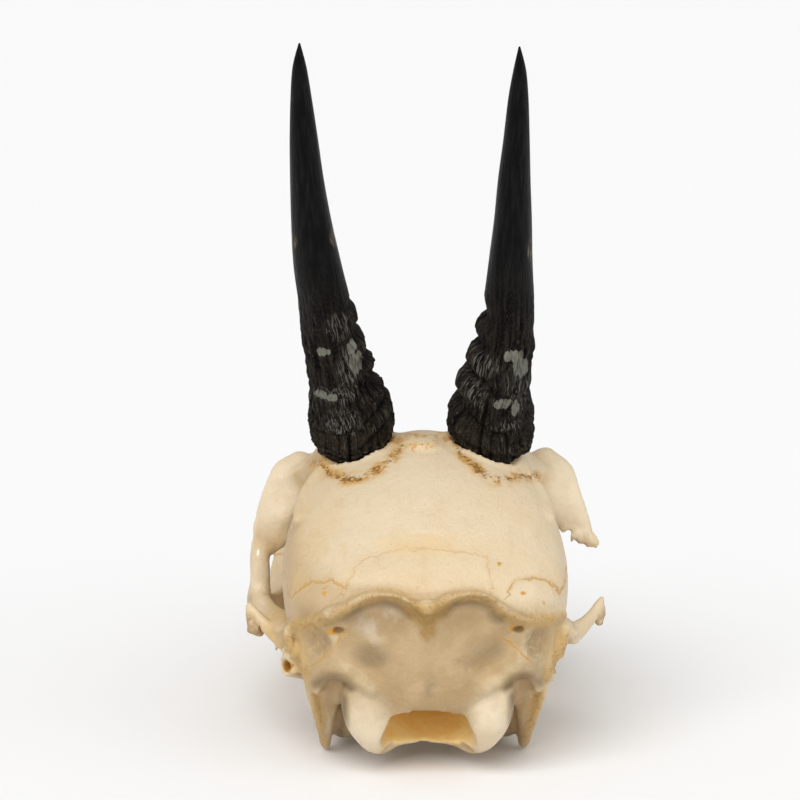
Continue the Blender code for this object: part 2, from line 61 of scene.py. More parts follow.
# The grid: its spacing, its corners and the distance that counts as far away.
PITCH = 0.52
LOW = np.array([-39.0, 0.5, -1.5], np.float32)
HIGH = np.array([39.0, 171.0, 74.5], np.float32)
COUNT = np.ceil((HIGH - LOW) / PITCH).astype(int) + 1
FAR = 30.0
MARGIN = 3.0
# How many steps a path is drawn in between two of its rows.
BAR_STEPS = 4
BODY_STEPS = 8
HORN_STEPS = 40
MOST_TRIANGLES = 190000

# Half the length of the skull, and the share of it that the grown bone takes up.
HALF_LENGTH = 83.2
SNUG = 0.9975

# Where the table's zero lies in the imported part, found from a tooth whose place is known.
TOOTH_PLACE = (-16.9, 88.3, 0.0)
tooth_low, tooth_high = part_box("left_molar_2")
SHIFT = np.array([
    (tooth_low.x + tooth_high.x) * 500 - TOOTH_PLACE[0],
    (tooth_low.y + tooth_high.y) * 500 - TOOTH_PLACE[1],
    tooth_low.z * 1000 - TOOTH_PLACE[2],
])

# The camera, in the table's millimetres.
CAMERA_PLACE = (-25.71338412, -756.35430341, 212.0531225)
CAMERA_YAW = math.radians(-1.5)
CAMERA_DIP = math.radians(10.0)
CAMERA_LENS = 176.4

# The brain case and the face: y, half width, height of the widest point, top, bottom,
# fullness above, fullness below.
BODY = (
    (5.6, 12, 27.5, 36, 18, 2.2, 2), (7, 18.5, 27.5, 39.2, 14.2, 2.3, 2),
    (10, 23.5, 28.5, 42.6, 10.6, 2.3, 2), (14, 26.4, 31, 45.4, 8, 2.2, 2.1),
    (20, 28.4, 34.5, 49.4, 7, 2.1, 2.1), (28, 29.2, 37, 54, 8, 2.25, 2.1),
    (36, 28.8, 38.5, 57.6, 10.5, 2.45, 2), (44, 27.2, 40, 60.4, 13, 2.5, 2),
    (52, 23.6, 42, 61.9, 15.5, 2.4, 1.9), (60, 18.6, 43, 61.3, 18, 2.1, 1.8),
    (68, 15.4, 43, 59.9, 20, 2, 1.8), (76, 14.8, 41, 58.2, 20.5, 2, 2), (84, 20, 38, 56, 16, 2.2, 2.6),
    (90, 25, 35.5, 54.2, 12.5, 2.3, 3), (96, 25.8, 32.5, 52, 11.6, 2.1, 3.2),
    (103, 23.4, 28.5, 49.2, 11.2, 1.9, 3.2), (111, 20.4, 25.5, 46, 11.2, 1.85, 3.2),
    (120, 17.2, 23.5, 42.4, 11.2, 1.9, 3), (130, 14, 22, 38.6, 11.4, 2, 2.8),
    (140, 11.4, 20.5, 35, 11.8, 2.1, 2.6)
)

# Bars, ridges and processes. Each has the fillet to what is there already, the direction in
# which its sections are wide, and a path of flattened sections: x, y, z, half width, half depth.
# Some also have the length of their ends, which are round otherwise.
MIDDLE_BARS = (
    # The shelf of the forehead, the base of the skull, the nasal bones.
    (3.0, ACROSS, (
        (0, 46, 55.6, 16, 3), (0, 50, 54, 22, 3.6), (0, 56, 52.8, 26.4, 3.8), (0, 62, 52.4, 28, 3.2),
        (0, 70, 53, 27.6, 3), (0, 78, 51.8, 27, 2.8), (0, 86, 50.2, 25.8, 2.8), (0, 93, 47.8, 24, 3),
        (0, 99, 46, 19, 3))),
    (2.5, ACROSS, (
        (0, 19.5, 6.3, 9.4, 2), (0, 28, 7.9, 7.6, 2.7), (0, 40, 11.4, 6.2, 3), (0, 52, 15.8, 5.6, 3.2),
        (0, 64, 20.4, 5.4, 3), (0, 76, 23.4, 6, 3))),
    (1.5, ACROSS, (
        (0, 112, 42.2, 9.2, 2.4), (0, 118, 40.7, 9.2, 2.4), (0, 124, 39, 8.9, 2.2),
        (0, 130, 37.1, 8.4, 2), (0, 140, 33.9, 7.2, 1.5), (0, 147, 31.3, 5, 1.2))),
)
# What both sides have, given for the right one.
PAIRED_BARS = (
    # The ear bulla and the wing of the base behind it.
    (1.2, ACROSS, (
        (16.4, 29, 10.6, 3.4, 4.2), (16.4, 33, 9.8, 5.8, 7.6), (16.2, 37.5, 9.6, 6.4, 8.5),
        (15.6, 42, 10.6, 5.4, 7.2), (14, 47, 12.8, 2.4, 3.2), (12.8, 50.4, 14.4, 0.9, 1.4))),
    (0.8, ALONG, (
        (9.6, 17.4, 4, 1.7, 1.5), (6, 18.6, 5, 1.6, 1.4), (0, 19.6, 6, 1.6, 1.3))),
    # The jaw joint, the front rim of the eye socket and the upper jaw.
    (2.0, ALONG, (
        (20.4, 35.6, 20.4, 4.6, 2.6), (25.6, 38.4, 21.4, 4.8, 2.2), (29.8, 40.2, 22.9, 3.8, 2))),
    (3.0, (1, 0.3, 0), (
        (25.4, 80, 48.6, 3, 2.4), (25.8, 88, 46, 3.2, 2.6), (26.4, 93.6, 40, 3.2, 2.5),
        (27.6, 93.6, 32, 3.2, 2.5), (28.8, 89, 25.6, 3.3, 3))),
    (3.0, ACROSS, (
        (16.6, 66, 13.4, 3.4, 4.2), (17.2, 71, 14, 5.2, 6.6), (17.6, 80, 15.4, 6.2, 8.4),
        (17.4, 90, 16.4, 6.2, 9.4), (16.2, 100, 15.4, 5.6, 8.4), (14.4, 111, 14, 4.6, 6.8),
        (12.6, 121, 13.4, 3.6, 5.4), (11.4, 128, 14.2, 2.4, 3.6))),
    # The plate beside the throat and its hook.
    (1.2, ACROSS, (
        (8.2, 60, 16.8, 1, 4.2), (8.4, 66, 15.4, 1.1, 5.8), (8.8, 74, 15.6, 1.2, 5.8),
        (9.8, 83, 15.2, 1.6, 5.2), (11, 90, 15, 2.2, 4.4))),
    (0.8, UPWARDS, (
        (8.2, 63, 12, 0.9, 2.2), (8.6, 59.6, 9.4, 0.8, 1.3), (9.4, 57.6, 8.4, 0.6, 0.9))),
    # The bone before the upper jaw with its rising arm.
    (1.5, ACROSS, (
        (12.2, 130, 22, 1.6, 7.6), (10.9, 140, 20, 1.3, 6.6), (9.9, 149, 17.2, 1.2, 4.4),
        (8.7, 157, 15, 1.4, 2.5), (6.8, 164, 13.9, 2, 1.7), (4.4, 166.8, 13.8, 2.3, 1.3))),
    (1.5, ACROSS, (
        (9.6, 148, 19.6, 1.2, 1.9), (10.9, 142, 24.6, 1.1, 2.1), (11.2, 136, 29.4, 1.1, 2),
        (10.2, 131, 33.6, 1.2, 1.8))),
    # The tip of the nasal bone, the tongue of the palate and the stalk of the horn.
    (0.7, ACROSS, (
        (2.6, 142, 33.4, 2.6, 1.1), (2.6, 147, 31.5, 2.2, 0.9), (2.4, 150.6, 29.9, 1.1, 0.7))),
    (0.8, ACROSS, (
        (1.4, 134, 12.8, 5, 1.3), (1.3, 144, 12.8, 3, 1.2), (1.2, 152, 12.9, 1.4, 1.1),
        (1.3, 160, 13.3, 1.2, 1), (2.2, 165, 13.7, 1.9, 1.1))),
    (4.0, ACROSS, (
        (13.6, 54, 54, 9.6, 10.8), (14, 52.8, 57.6, 8.3, 9.6), (14.3, 51.8, 60.4, 7.7, 8.9),
        (14.9, 50.2, 64, 7, 8))),
)
SIDE_BARS = (
    # The ear tubes.
    (0.8, ALONG, (
        (-17, 34, 14.6, 3.6, 3.6), (-23.2, 30.6, 17.2, 2.4, 2.9), (-27.6, 27.6, 18.8, 2, 2.7),
        (-28.4, 27, 19, 1.9, 2.7)), 0.7),
    (1.2, ALONG, (
        (17, 34, 14.6, 3.6, 3.6), (21.6, 31.4, 16.2, 3.1, 3.3), (24.6, 29.6, 17.2, 2.8, 3.1))),
    # The roots of the cheek arches, the left one whole and the right one broken off.
    (1.6, ACROSS, (
        (-22.6, 25.6, 26.2, 6, 3), (-26.8, 33, 25, 4.6, 1.8), (-30, 41, 25.2, 3.6, 1.3),
        (-32.4, 49, 25.2, 2.4, 1.5), (-33.9, 55, 25, 1.8, 2.2), (-34.5, 60, 24.4, 1.8, 3))),
    (0.8, (-1, 1, 0), (
        (-25.6, 27, 23.6, 3.4, 2), (-28.9, 31, 22.7, 1.9, 1.15), (-31.5, 34, 23.9, 1.4, 1),
        (-33.4, 36.2, 25.6, 1.2, 1), (-35, 37.6, 27.2, 1.1, 0.9), (-36.1, 38.4, 28.6, 0.7, 0.7))),
    (1.2, (1, 1, 0), (
        (22.6, 25.6, 25.8, 6, 3.2), (26.8, 28.4, 24.4, 4.2, 2), (30, 31.8, 23.7, 2.5, 1.2),
        (32.9, 35, 24.6, 1.8, 1), (35.1, 37.4, 26.3, 1.4, 0.95), (36.7, 39, 28.4, 1, 0.9),
        (37.3, 39.6, 29.6, 0.5, 0.5))),
    # The grey knobs at the ends of the processes.
    (0.5, ACROSS, (
        (-34, 38, 23.1, 0.9, 1), (-35.2, 38.2, 24, 1.1, 1.5), (-36, 38.4, 26.2, 0.9, 1.2),
        (-36.2, 38.4, 28.2, 0.7, 0.8))),
    (0.5, ACROSS, (
        (36.7, 39.4, 24.3, 0.8, 0.9), (36.9, 39.8, 25.8, 1.1, 1.5), (37.2, 40, 27.8, 0.8, 1))),
    # The cheekbones.
    (2.0, ACROSS, (
        (-33.4, 52, 25, 1.8, 2), (-34.6, 60, 24.4, 1.8, 3.2), (-34.6, 66, 23.8, 1.9, 3.8),
        (-33.5, 73, 22.4, 2.2, 4.4), (-31, 82, 21.2, 2.7, 5.2), (-27.8, 90, 21.2, 3.6, 6.2),
        (-23.6, 98, 21.6, 4.2, 6.8))),
    (2.0, ACROSS, (
        (30.2, 79.3, 22.6, 1, 2.4), (29.6, 82, 21.8, 2.1, 4.6), (27.6, 90, 21.2, 3.6, 6.2),
        (23.6, 98, 21.6, 4.2, 6.8))),
    # The ridges at the temples.
    (2.4, ACROSS, (
        (-19.9, 46, 56, 1.2, 0.7), (-23.4, 43, 53, 1.1, 0.7), (-25.2, 38.6, 50.4, 1, 0.7),
        (-25.9, 33, 48.2, 0.8, 0.5))),
    (2.4, ACROSS, (
        (19.8, 47, 56, 1.2, 0.7), (23.5, 44, 53, 1.1, 0.7), (25.3, 39.6, 50.4, 1, 0.7),
        (25.9, 33, 48.2, 0.8, 0.5))),
)
# The web behind the bar of each eye socket, and the bars: the left one is whole.
FLANGE_WEB = (
    (3.0, ACROSS, (
        (17, 56, 54.6, 4, 3), (22.6, 57.4, 51.2, 4.6, 3), (26.4, 59, 47, 3.4, 2.2),
        (28.4, 59.6, 43.4, 2.4, 1.6))),
)
LEFT_EYE_BAR = (
    (2.2, ACROSS, (
        (-24.6, 62.6, 53.6, 3.6, 2.6), (-27, 61.6, 50.6, 5.1, 2.4), (-30, 60.8, 46.4, 4, 2),
        (-31, 60.3, 42.6, 4.1, 1.8), (-31.8, 60, 39.2, 4.1, 1.6), (-33.6, 59.7, 36.6, 2.5, 1.6),
        (-34.2, 59.5, 34, 2.1, 1.7), (-34.1, 59.2, 30, 2.1, 1.8), (-34.3, 59, 25.4, 1.8, 2),
        (-34.5, 58.8, 22.6, 1.2, 1.6))),
)
BROKEN_BARS = (
    (0.6, ACROSS, (
        (-31.4, 59.9, 42, 3, 1.3), (-30.6, 59.7, 39.4, 1.9, 1.1), (-30.2, 59.6, 37.6, 1, 0.9),
        (-30.3, 59.6, 36.6, 0.4, 0.6))),
    (2.2, ACROSS, (
        (25.2, 62.6, 53.9, 4.2, 2.6), (28.2, 61.6, 50.2, 5.2, 2.4), (31, 60.8, 46, 3.7, 1.9),
        (32.4, 60.2, 42.2, 3.5, 1.6), (33.4, 59.9, 40.2, 3.2, 1.4), (34.7, 59.6, 38.5, 2.4, 1.1),
        (36, 59.4, 37.3, 1.5, 0.9), (37.2, 59.2, 36.5, 0.6, 0.6))),
)
# The crest over the back of the head, in two bows, and the keel below it.
LEFT_CREST = (
    (-0.6, 4, 35.9, 1.3, 0.9), (-3.4, 4.1, 36.3, 1.3, 0.7), (-4.9, 3.9, 37.4, 1.3, 0.7),
    (-6.7, 3.5, 38.3, 1.1, 0.6), (-9, 3.6, 38.5, 1.2, 0.6), (-11.8, 4, 38.1, 1.2, 0.6),
    (-14.3, 4.9, 37, 1.2, 0.6), (-16.7, 5.9, 35.5, 1.2, 0.6), (-19.3, 7.5, 33.8, 1.6, 0.8),
    (-22, 10, 32.2, 1.5, 0.8), (-24.6, 12.6, 31, 1.4, 0.9), (-26.6, 14.8, 30.4, 1.2, 1)
)
RIGHT_CREST = (
    (-0.4, 4, 35.9, 1.3, 0.9), (1.9, 4.1, 36.4, 1.3, 0.7), (3.6, 3.9, 37.5, 1.3, 0.7),
    (5.7, 3.5, 38.4, 1.1, 0.6), (8.2, 3.6, 38.6, 1.2, 0.6), (10.2, 3.9, 38.3, 1.2, 0.6),
    (12.2, 4.5, 37.2, 1.2, 0.6), (14.2, 5.8, 35.3, 1.2, 0.6), (16.2, 6.8, 33.6, 1.1, 0.6),
    (18.8, 7.9, 32.4, 1.6, 0.8), (22.2, 10.4, 31.6, 1.5, 0.9), (25, 13, 31.6, 1.4, 1),
    (27.2, 15, 31.6, 1.2, 1)
)
OCCIPITAL_KEEL = (
    (1.6, ACROSS, (
        (-0.4, 5.6, 34, 1.6, 1.3), (-0.3, 6.2, 31, 0.9, 1.1), (-0.2, 6.8, 27, 0.8, 1),
        (0, 7.6, 22, 0.9, 0.8))),
)
# The process beside each condyle with its ledge and its outer rim.
REAR_BARS = (
    (1.8, ALONG, (
        (22, 17, 24.6, 5.2, 3.8), (21.4, 19, 20.5, 5, 3.5), (20.7, 21.5, 15.6, 4.7, 3.2),
        (20.4, 24.6, 11, 4, 2.3), (20.4, 27.4, 6.4, 3.2, 1.55), (20.4, 29.6, 2.4, 2.2, 1.15),
        (20.4, 30.2, 1.2, 1.5, 1))),
    (2.2, ALONG, (
        (21.8, 12.8, 17.4, 1.5, 1.5), (20.7, 11, 20.2, 1.8, 1.6), (18.8, 9.4, 21.9, 2, 1.6),
        (16.4, 8.4, 21.6, 2, 1.6), (13.8, 7.6, 20.2, 2, 1.8), (11.4, 7.4, 18.6, 2, 1.8))),
    (1.2, ALONG, (
        (24.6, 13.6, 22.4, 1.5, 1.1), (24, 14.6, 18.6, 1.5, 1), (23.2, 17.6, 14.2, 1.5, 1),
        (22.3, 21.4, 9.8, 1.4, 0.9), (21.5, 25.6, 5.4, 1.2, 0.85), (20.9, 28.8, 2.2, 0.9, 0.7))),
)
# The groove in that process, and the gap between it and the condyle.
REAR_GAPS = (
    (1.2, ACROSS, (
        (18.4, 8.8, 18.6, 2.6, 1.8), (18.8, 12, 15.6, 3, 2.8), (18.9, 16, 11.4, 2.3, 3),
        (18.6, 18.6, 7.6, 1.6, 3))),
    (0.8, ACROSS, (
        (17.1, 13.4, 12.6, 1, 2.6), (17.1, 17, 8.6, 1.8, 4.5), (17.1, 19, 4.4, 2.3, 4.6))),
)
CONDYLE = (
    (0.8, ACROSS, (
        (15.5, 10.8, 18.2, 1.7, 2), (14.1, 9.8, 15.8, 3.4, 3.4), (12.2, 10.4, 12, 4.6, 4.6),
        (10.6, 12.8, 8.7, 4.3, 4.6), (9.4, 16.4, 6.4, 3.6, 3.6), (8.8, 19.6, 5.2, 2.8, 2.4))),
)
# The ragged outer edges of the plates behind the ears.
PLATE_EDGES = {
    LEFT: ((0.8, ACROSS, (
        (-28, 14.6, 29.4, 1, 0.7), (-28.2, 14.9, 27.1, 1, 0.6), (-27, 15, 24.8, 1, 0.6),
        (-25.6, 15.2, 22.8, 1.1, 0.6), (-24.4, 15.6, 20.6, 1.2, 0.7))),),
    RIGHT: ((0.8, ACROSS, (
        (28, 14.8, 29.4, 1, 0.7), (27.6, 15, 26.9, 1, 0.6), (26.7, 15.1, 24.8, 1, 0.6),
        (25.4, 15.4, 21.6, 1.1, 0.6), (24, 15.8, 19, 1.2, 0.7))),),
}
# The low swelling of the forehead between the horns: place and radii.
FOREHEAD_SWELLING = ((0, 50, 61.2), (5, 7, 1.4))
# Splinters: two ends with a radius at each.
SPLINTERS = (
    ((-30.6, 60, 37.2, 0.8), (-31.3, 60, 34.9, 0.35)), ((33.2, 59.9, 38.2, 0.8), (33.4, 59.9, 37, 0.4)),
    ((-30, 32.6, 21.8, 0.6), (-30.9, 33.4, 20.3, 0.3)), ((-29, 30.6, 21.6, 0.7),
    (-28.6, 31.4, 20.2, 0.35)), ((30.4, 33, 22.4, 0.6), (32, 35, 21.3, 0.3)), ((28.6, 29, 24.6, 1.2),
    (29.2, 30.4, 26.6, 0.9)), ((27.4, 18, 22.6, 0.7), (28.4, 18.6, 22, 0.35)), ((25.4, 17, 19.8, 0.7),
    (26.4, 17.4, 19.4, 0.3)), ((-27.6, 16.4, 26, 0.8), (-28.9, 17, 26.6, 0.35)),
    ((-26.6, 17, 22.4, 0.7), (-27.8, 17.6, 21.8, 0.35)), ((26.2, 16.6, 26.4, 0.9),
    (28.8, 17.4, 27.2, 0.3)), ((25.8, 16.6, 23, 0.9), (27.5, 17.2, 22.2, 0.3)),
    ((24.6, 16.8, 18.6, 0.8), (25.8, 17.2, 17.4, 0.3)), ((-27.4, 16.4, 24.8, 0.9),
    (-29.6, 17.2, 24.2, 0.3)), ((-26.2, 16.6, 20.6, 0.9), (-27.6, 17.2, 19.4, 0.3))
)

# The hollows. The brain case and the canal of the neck are also lined with a warmer colour and a faint
# painted glow.
BRAIN_HOLLOW = (1.0, ACROSS, (
        (0, 15.5, 30, 9, 7), (0, 20, 31.5, 17.6, 13), (0, 27, 33.5, 22.6, 17),
        (0, 36, 35.5, 22.4, 17.8), (0, 45, 37.5, 18.6, 16.6), (0, 54, 40, 10, 10)), 2.0)
NECK_CANAL = (0.5, ACROSS, (
        (0, 1, 3.9, 9.6, 6.6), (0, 12, 8.6, 9.6, 6.7), (0, 22, 13.9, 9.6, 6.9), (0, 31, 20, 11, 9.2),
        (0, 38, 28, 10, 8)))
HOLLOWS = (
    BRAIN_HOLLOW,
    NECK_CANAL,
    # The lower corners of the canal, and the notch below it.
    (0.4, ACROSS, (
        (0, -2, 4, 9.5, 3.2), (0, 9, 4, 9.5, 3.2), (0, 16, 3.4, 9.4, 2.4)), 0.8),
    (0.4, ACROSS, (
        (0, -2, -0.6, 9.7, 6), (0, 13, -0.8, 9.7, 6), (0, 17, -1.2, 9.8, 6)), 0.8),
    # The nose and the throat.
    (0.8, ACROSS, (
        (0, 156, 22.4, 7.4, 7.6), (0, 146, 22.6, 8.4, 8.4), (0, 136, 24.4, 10, 10.6),
        (0, 124, 26.4, 12.4, 12.8), (0, 112, 28.4, 13.6, 14.6), (0, 103, 29.8, 12.6, 14),
        (0, 97, 29.6, 8, 10)), 3.0),
    (1.0, ACROSS, (
        (0, 74, 15.4, 6.9, 4.4), (0, 84, 16.6, 6.9, 4), (0, 94, 20, 6.9, 5), (0, 104, 24, 8, 7)), 3.0),
)
NASAL_SEPTUM = (
    (0.6, ACROSS, (
        (0, 100, 22, 0.8, 9), (0, 116, 20, 0.8, 8.6), (0, 130, 16.6, 0.8, 5.2), (0, 142, 14.6, 0.8, 2.6))),
)
# The rolled leaves of bone at each side of the nose; the lower one is hollow.
NOSE_LEAVES = (
    (0.5, ACROSS, (
        (5, 99, 37, 0.9, 4), (6, 112, 34, 0.9, 3.8), (5.6, 124, 31.4, 0.8, 3), (4.6, 134, 30, 0.6, 1.6))),
    (0.5, ACROSS, (
        (9, 101, 24, 3.2, 3.4), (8.4, 112, 23.6, 3.1, 3.6), (7.6, 124, 22.6, 2.8, 3.2),
        (7, 133, 21.8, 1.8, 2))),
)
LEFT_EAR_HOLE = (
    (0.3, ACROSS, ((-30.5, 25.4, 19.2, 1.35, 1.35), (-24.6, 29.6, 17.6, 1.2, 1.2))),
)

# Balls that are taken out on both sides: place, radii, turn in degrees and fillet.
EYE_HOLLOW = ((35, 78.4, 39.2, 21.4, 17, 16.6, 0, 1.2),)
WEB_HOLLOW = ((30.6, 50, 48.6, 4.6, 8, 7, 20, 2.5),)
# The fossae of the rear and the holes beside the crest.
REAR_HOLLOWS = (
    (9, 2.4, 31.6, 7.8, 4.6, 6.9, 0, 0.7), (12.6, 3.6, 22, 4, 4, 5, 15, 2.2),
    (15.4, 3.2, 27.4, 5.6, 4.6, 6.2, 20, 1.6), (23.7, 8, 27.2, 4.8, 3.3, 3.9, 41, 1),
    (18.1, 6, 30.5, 1.3, 3.4, 0.8, 0, 0.4),
)
# The hollow of the face, and the holes of the face, the orbit, the palate and the base.
FACE_HOLLOWS = (
    (30, 107, 33, 8.6, 12, 9, 12, 2.5), (16.6, 118.5, 20.6, 2.6, 3, 1.5, 25, 0.6),
    (14.6, 66, 56.8, 1.2, 1.5, 3, 0, 0.6), (24.4, 92, 43.6, 1.4, 2, 1.4, 0, 0.6),
    (13.6, 66, 35, 3.4, 2, 1.9, 0, 0.7), (12, 62, 28, 3, 2.4, 3.2, 0, 0.7),
    (6, 96, 10.6, 1, 1.6, 1.2, 0, 0.5), (6.8, 46, 12.6, 1.6, 2, 1.4, 0, 0.5),
)
# On the right only: notches in the broken eye bar, and the ear hole.
BAR_NOTCHES = ((35, 59.7, 36.5, 0.75, 3, 1, 0, 0.3), (33, 59.8, 37.2, 0.75, 3, 1, 0, 0.3),
               (31.4, 60, 38.8, 0.75, 3, 1, 0, 0.3))
RIGHT_EAR_HOLE = ((26.4, 28.6, 17.8, 3, 3, 1.4, 0, 0.4),)

# Broken ends of bone: place, reach and roughness.
BROKEN = (
    ((36.2, 59.4, 37.4), 4.2, 1.6), ((33.6, 59.8, 38.6), 4, 1.5), ((36.3, 41, 26), 3.6, 1.7),
    ((-35.6, 37, 24), 3.4, 1.5), ((26.8, 16, 24), 5, 0.9), ((-27, 16, 24), 5, 0.9), ((30.2, 79.4, 22.4),
    4, 1.2), ((-0.4, 3.6, 34.6), 3.6, 1), ((-3.4, 8.6, 12.8), 3, 0.7), ((3.8, 8.6, 12.6), 3, 0.7),
    ((-22.6, 11, 31.4), 3.4, 0.7), ((21.4, 10.6, 32), 3.4, 0.7), ((-27.4, 20, 24), 4, 1),
    ((27.6, 18, 25), 4, 1)
)

# Horns: the middle line of each from the bottom rim to the tip, x, y, z, then its radius
# across and its radius from front to back. Both are given as if they stood on the right.
HORN_PATHS = {
    LEFT: (
        (14.3, 53.6, 58.6, 8.3, 10), (14.6, 52.2, 61.8, 8.8, 10.5), (14.9, 50.3, 66.6, 8.7, 9.6),
        (15.6, 48.8, 70.1, 8, 8.8), (16.2, 48, 72, 7.5, 8.3), (16.6, 47, 74.2, 7.1, 7.8),
        (17.3, 46, 76.6, 6.7, 7.5), (17.9, 44.7, 79.2, 6.2, 6.9), (18.6, 43.1, 82.7, 6.1, 6.8),
        (19.4, 41.3, 86.7, 5.8, 6.4), (19.9, 40, 89.6, 5.6, 6.2), (20.7, 38, 94, 5.2, 5.8),
        (22, 34.7, 101.5, 4.8, 5.3), (23.1, 30.8, 110.3, 4.05, 4.5), (23.9, 26.9, 118.8, 3.4, 3.8),
        (24.5, 23.2, 127.3, 2.85, 3.1), (25, 19.4, 135.7, 2.15, 2.3), (25.3, 16.4, 142.4, 1.4, 1.5),
        (25.3, 14.1, 147.3, 0.2, 0.2)),
    RIGHT: (
        (14.3, 53.6, 58.6, 8.3, 10), (14.6, 52.2, 61.8, 8.8, 10.5), (14.7, 50.5, 66.2, 8.8, 9.6),
        (15, 48.8, 70, 7.7, 8.7), (15.4, 47.1, 73.8, 7, 8), (16.3, 45.8, 76.8, 6.2, 7.2),
        (16.5, 44.3, 80, 6, 6.9), (17.1, 42.7, 83.6, 5.6, 6.5), (17.3, 41.5, 86.3, 5.4, 6.2),
        (17.5, 40.3, 89, 5.25, 6), (17.5, 38.4, 93.2, 5.1, 5.7), (17.6, 34.8, 101.4, 4.45, 5),
        (17.8, 30.9, 110.1, 3.85, 4.3), (17.8, 27, 118.7, 3.3, 3.6), (18, 23.2, 127.2, 2.65, 2.9),
        (18.1, 19.5, 135.6, 2.05, 2.2), (18.2, 16.8, 141.6, 1.3, 1.4), (18, 14.6, 146.5, 0.2, 0.2)),
}
# The thickness of a sheath's wall, and how deep its hollow runs up from the rim.
SHEATH_WALL = 1.9
HOLLOW_DEPTH = 34
# The rows of that path that the bony core takes over, and the play around it.
CORE_ROWS = (0, 2, 5, 8, 11)
CORE_PLAY = 0.3
SEAT_PLAY = 0.25
# The lower rim of each sheath lies in a plane that is tilted to the rear.
RIM_PLACE = (14.6, 51.4, 62.6)
RIM_TILT = math.radians(38)
RIM_UP = np.array([0.0, -math.sin(RIM_TILT), math.cos(RIM_TILT)])
# How far the axis of a sheath is drawn on below the first section, in millimetres.
BELOW_BASE = 5.0
# The farthest along that axis that the rim may start.
HIGHEST_START = 20 + BELOW_BASE
# The points of a sheath's mesh: around it, along it, and along the wall of its hollow.
HORN_AROUND = 180
HORN_ALONG = 440
WALL_ROWS = 24
HORN_SEEDS = {LEFT: 20, RIGHT: 40}
# The way around a horn that its noise is laid out on, in millimetres.
HORN_GIRTH = 40
# Growth rings of each horn: height of the ring's middle line, reach, swell, and its slant.
HORN_RINGS = {
    LEFT: (
        (65.2, 1.3, 0.55, 0.5), (69.4, 0.8, 0.35, 0.25), (78.4, 1.2, 0.2, 0.05), (85.2, 1.4, 0.18, 0.05)),
    RIGHT: (
        (64.8, 1.4, 0.55, 0.35), (69.6, 0.9, 0.4, 0.25), (77.2, 1.3, 0.22, 0.05), (83.6, 1.3, 0.2, 0.05)),
}
# Knobs on the inner side: height, half height and how far they stand out.
HORN_KNOBS = {
    LEFT: (
        (72.2, 1.4, 2.2), (77, 1.6, 2.3), (82.9, 1.7, 2.2), (89.5, 1.9, 1.6), (66.4, 2.6, 0.3)),
    RIGHT: (
        (73.8, 1.6, 2.3), (80, 1.9, 2.3), (86.4, 2.1, 2), (66.6, 2.6, 0.4)),
}
# Pale scars, streaks and tufts of dirt: kind, x, z, reach across, reach up.
HORN_MARKS = {
    LEFT: (
        ("scar", -20.8, 82.3, 1.7, 0.9), ("scar", -14.8, 83, 1, 1.8), ("scar", -14, 79.6, 1.5, 2.6),
        ("streak", -15.6, 78, 2.6, 5.4), ("streak", -18.6, 72.6, 6.4, 2),
        ("streak", -16.6, 66.6, 4.2, 3.4), ("scar", -21.2, 72.6, 1.5, 1),
        ("scar", -18.9, 72.2, 1.2, 0.9), ("streak", -17.6, 87.6, 3, 3), ("tuft", -27, 106, 1.2, 1.8),
        ("tuft", -18.2, 107, 1.2, 2.4)),
    RIGHT: (
        ("scar", 18.6, 81.2, 2.2, 1.5), ("scar", 20, 78.6, 1.6, 2.6), ("scar", 16.2, 70.6, 1.9, 1.2),
        ("scar", 19, 69.6, 0.8, 1.8), ("streak", 19.6, 74, 3, 6.4), ("streak", 12.4, 79, 3.6, 2.8),
        ("streak", 10.4, 72.6, 3.2, 3), ("streak", 18.4, 65.6, 2.6, 2), ("tuft", 12.6, 107, 1.2, 1.4),
        ("tuft", 21.6, 104, 1.2, 2.6)),
}
# The loose flake at the rim of the right sheath: its angle, half its width and its length.
FLAKE = (276, 18, 4.0)

# Cheek teeth: name, x, y, half width, half length.
TEETH = (
    ("premolar_2", 12.3, 119.2, 2.6, 2.9), ("premolar_3", 13.2, 112.7, 3, 3.2),
    ("premolar_4", 14.3, 105.9, 3.6, 3.2), ("molar_1", 15.8, 97.9, 4.2, 4.3),
    ("molar_2", 16.9, 88.3, 4.6, 4.8), ("molar_3", 17.3, 78, 4.5, 5)
)
TOOTH_AROUND = 96
TOOTH_RINGS = 14
# How square a crown is, and its outline at each height above the table.
TOOTH_SQUARENESS = 0.72
TOOTH_LEVELS = ((11.0, 0.70), (9.4, 0.80), (7.4, 0.90), (5.0, 0.96), (2.6, 1.0), (1.0, 1.0),
                (0.35, 0.985), (0.08, 0.96))

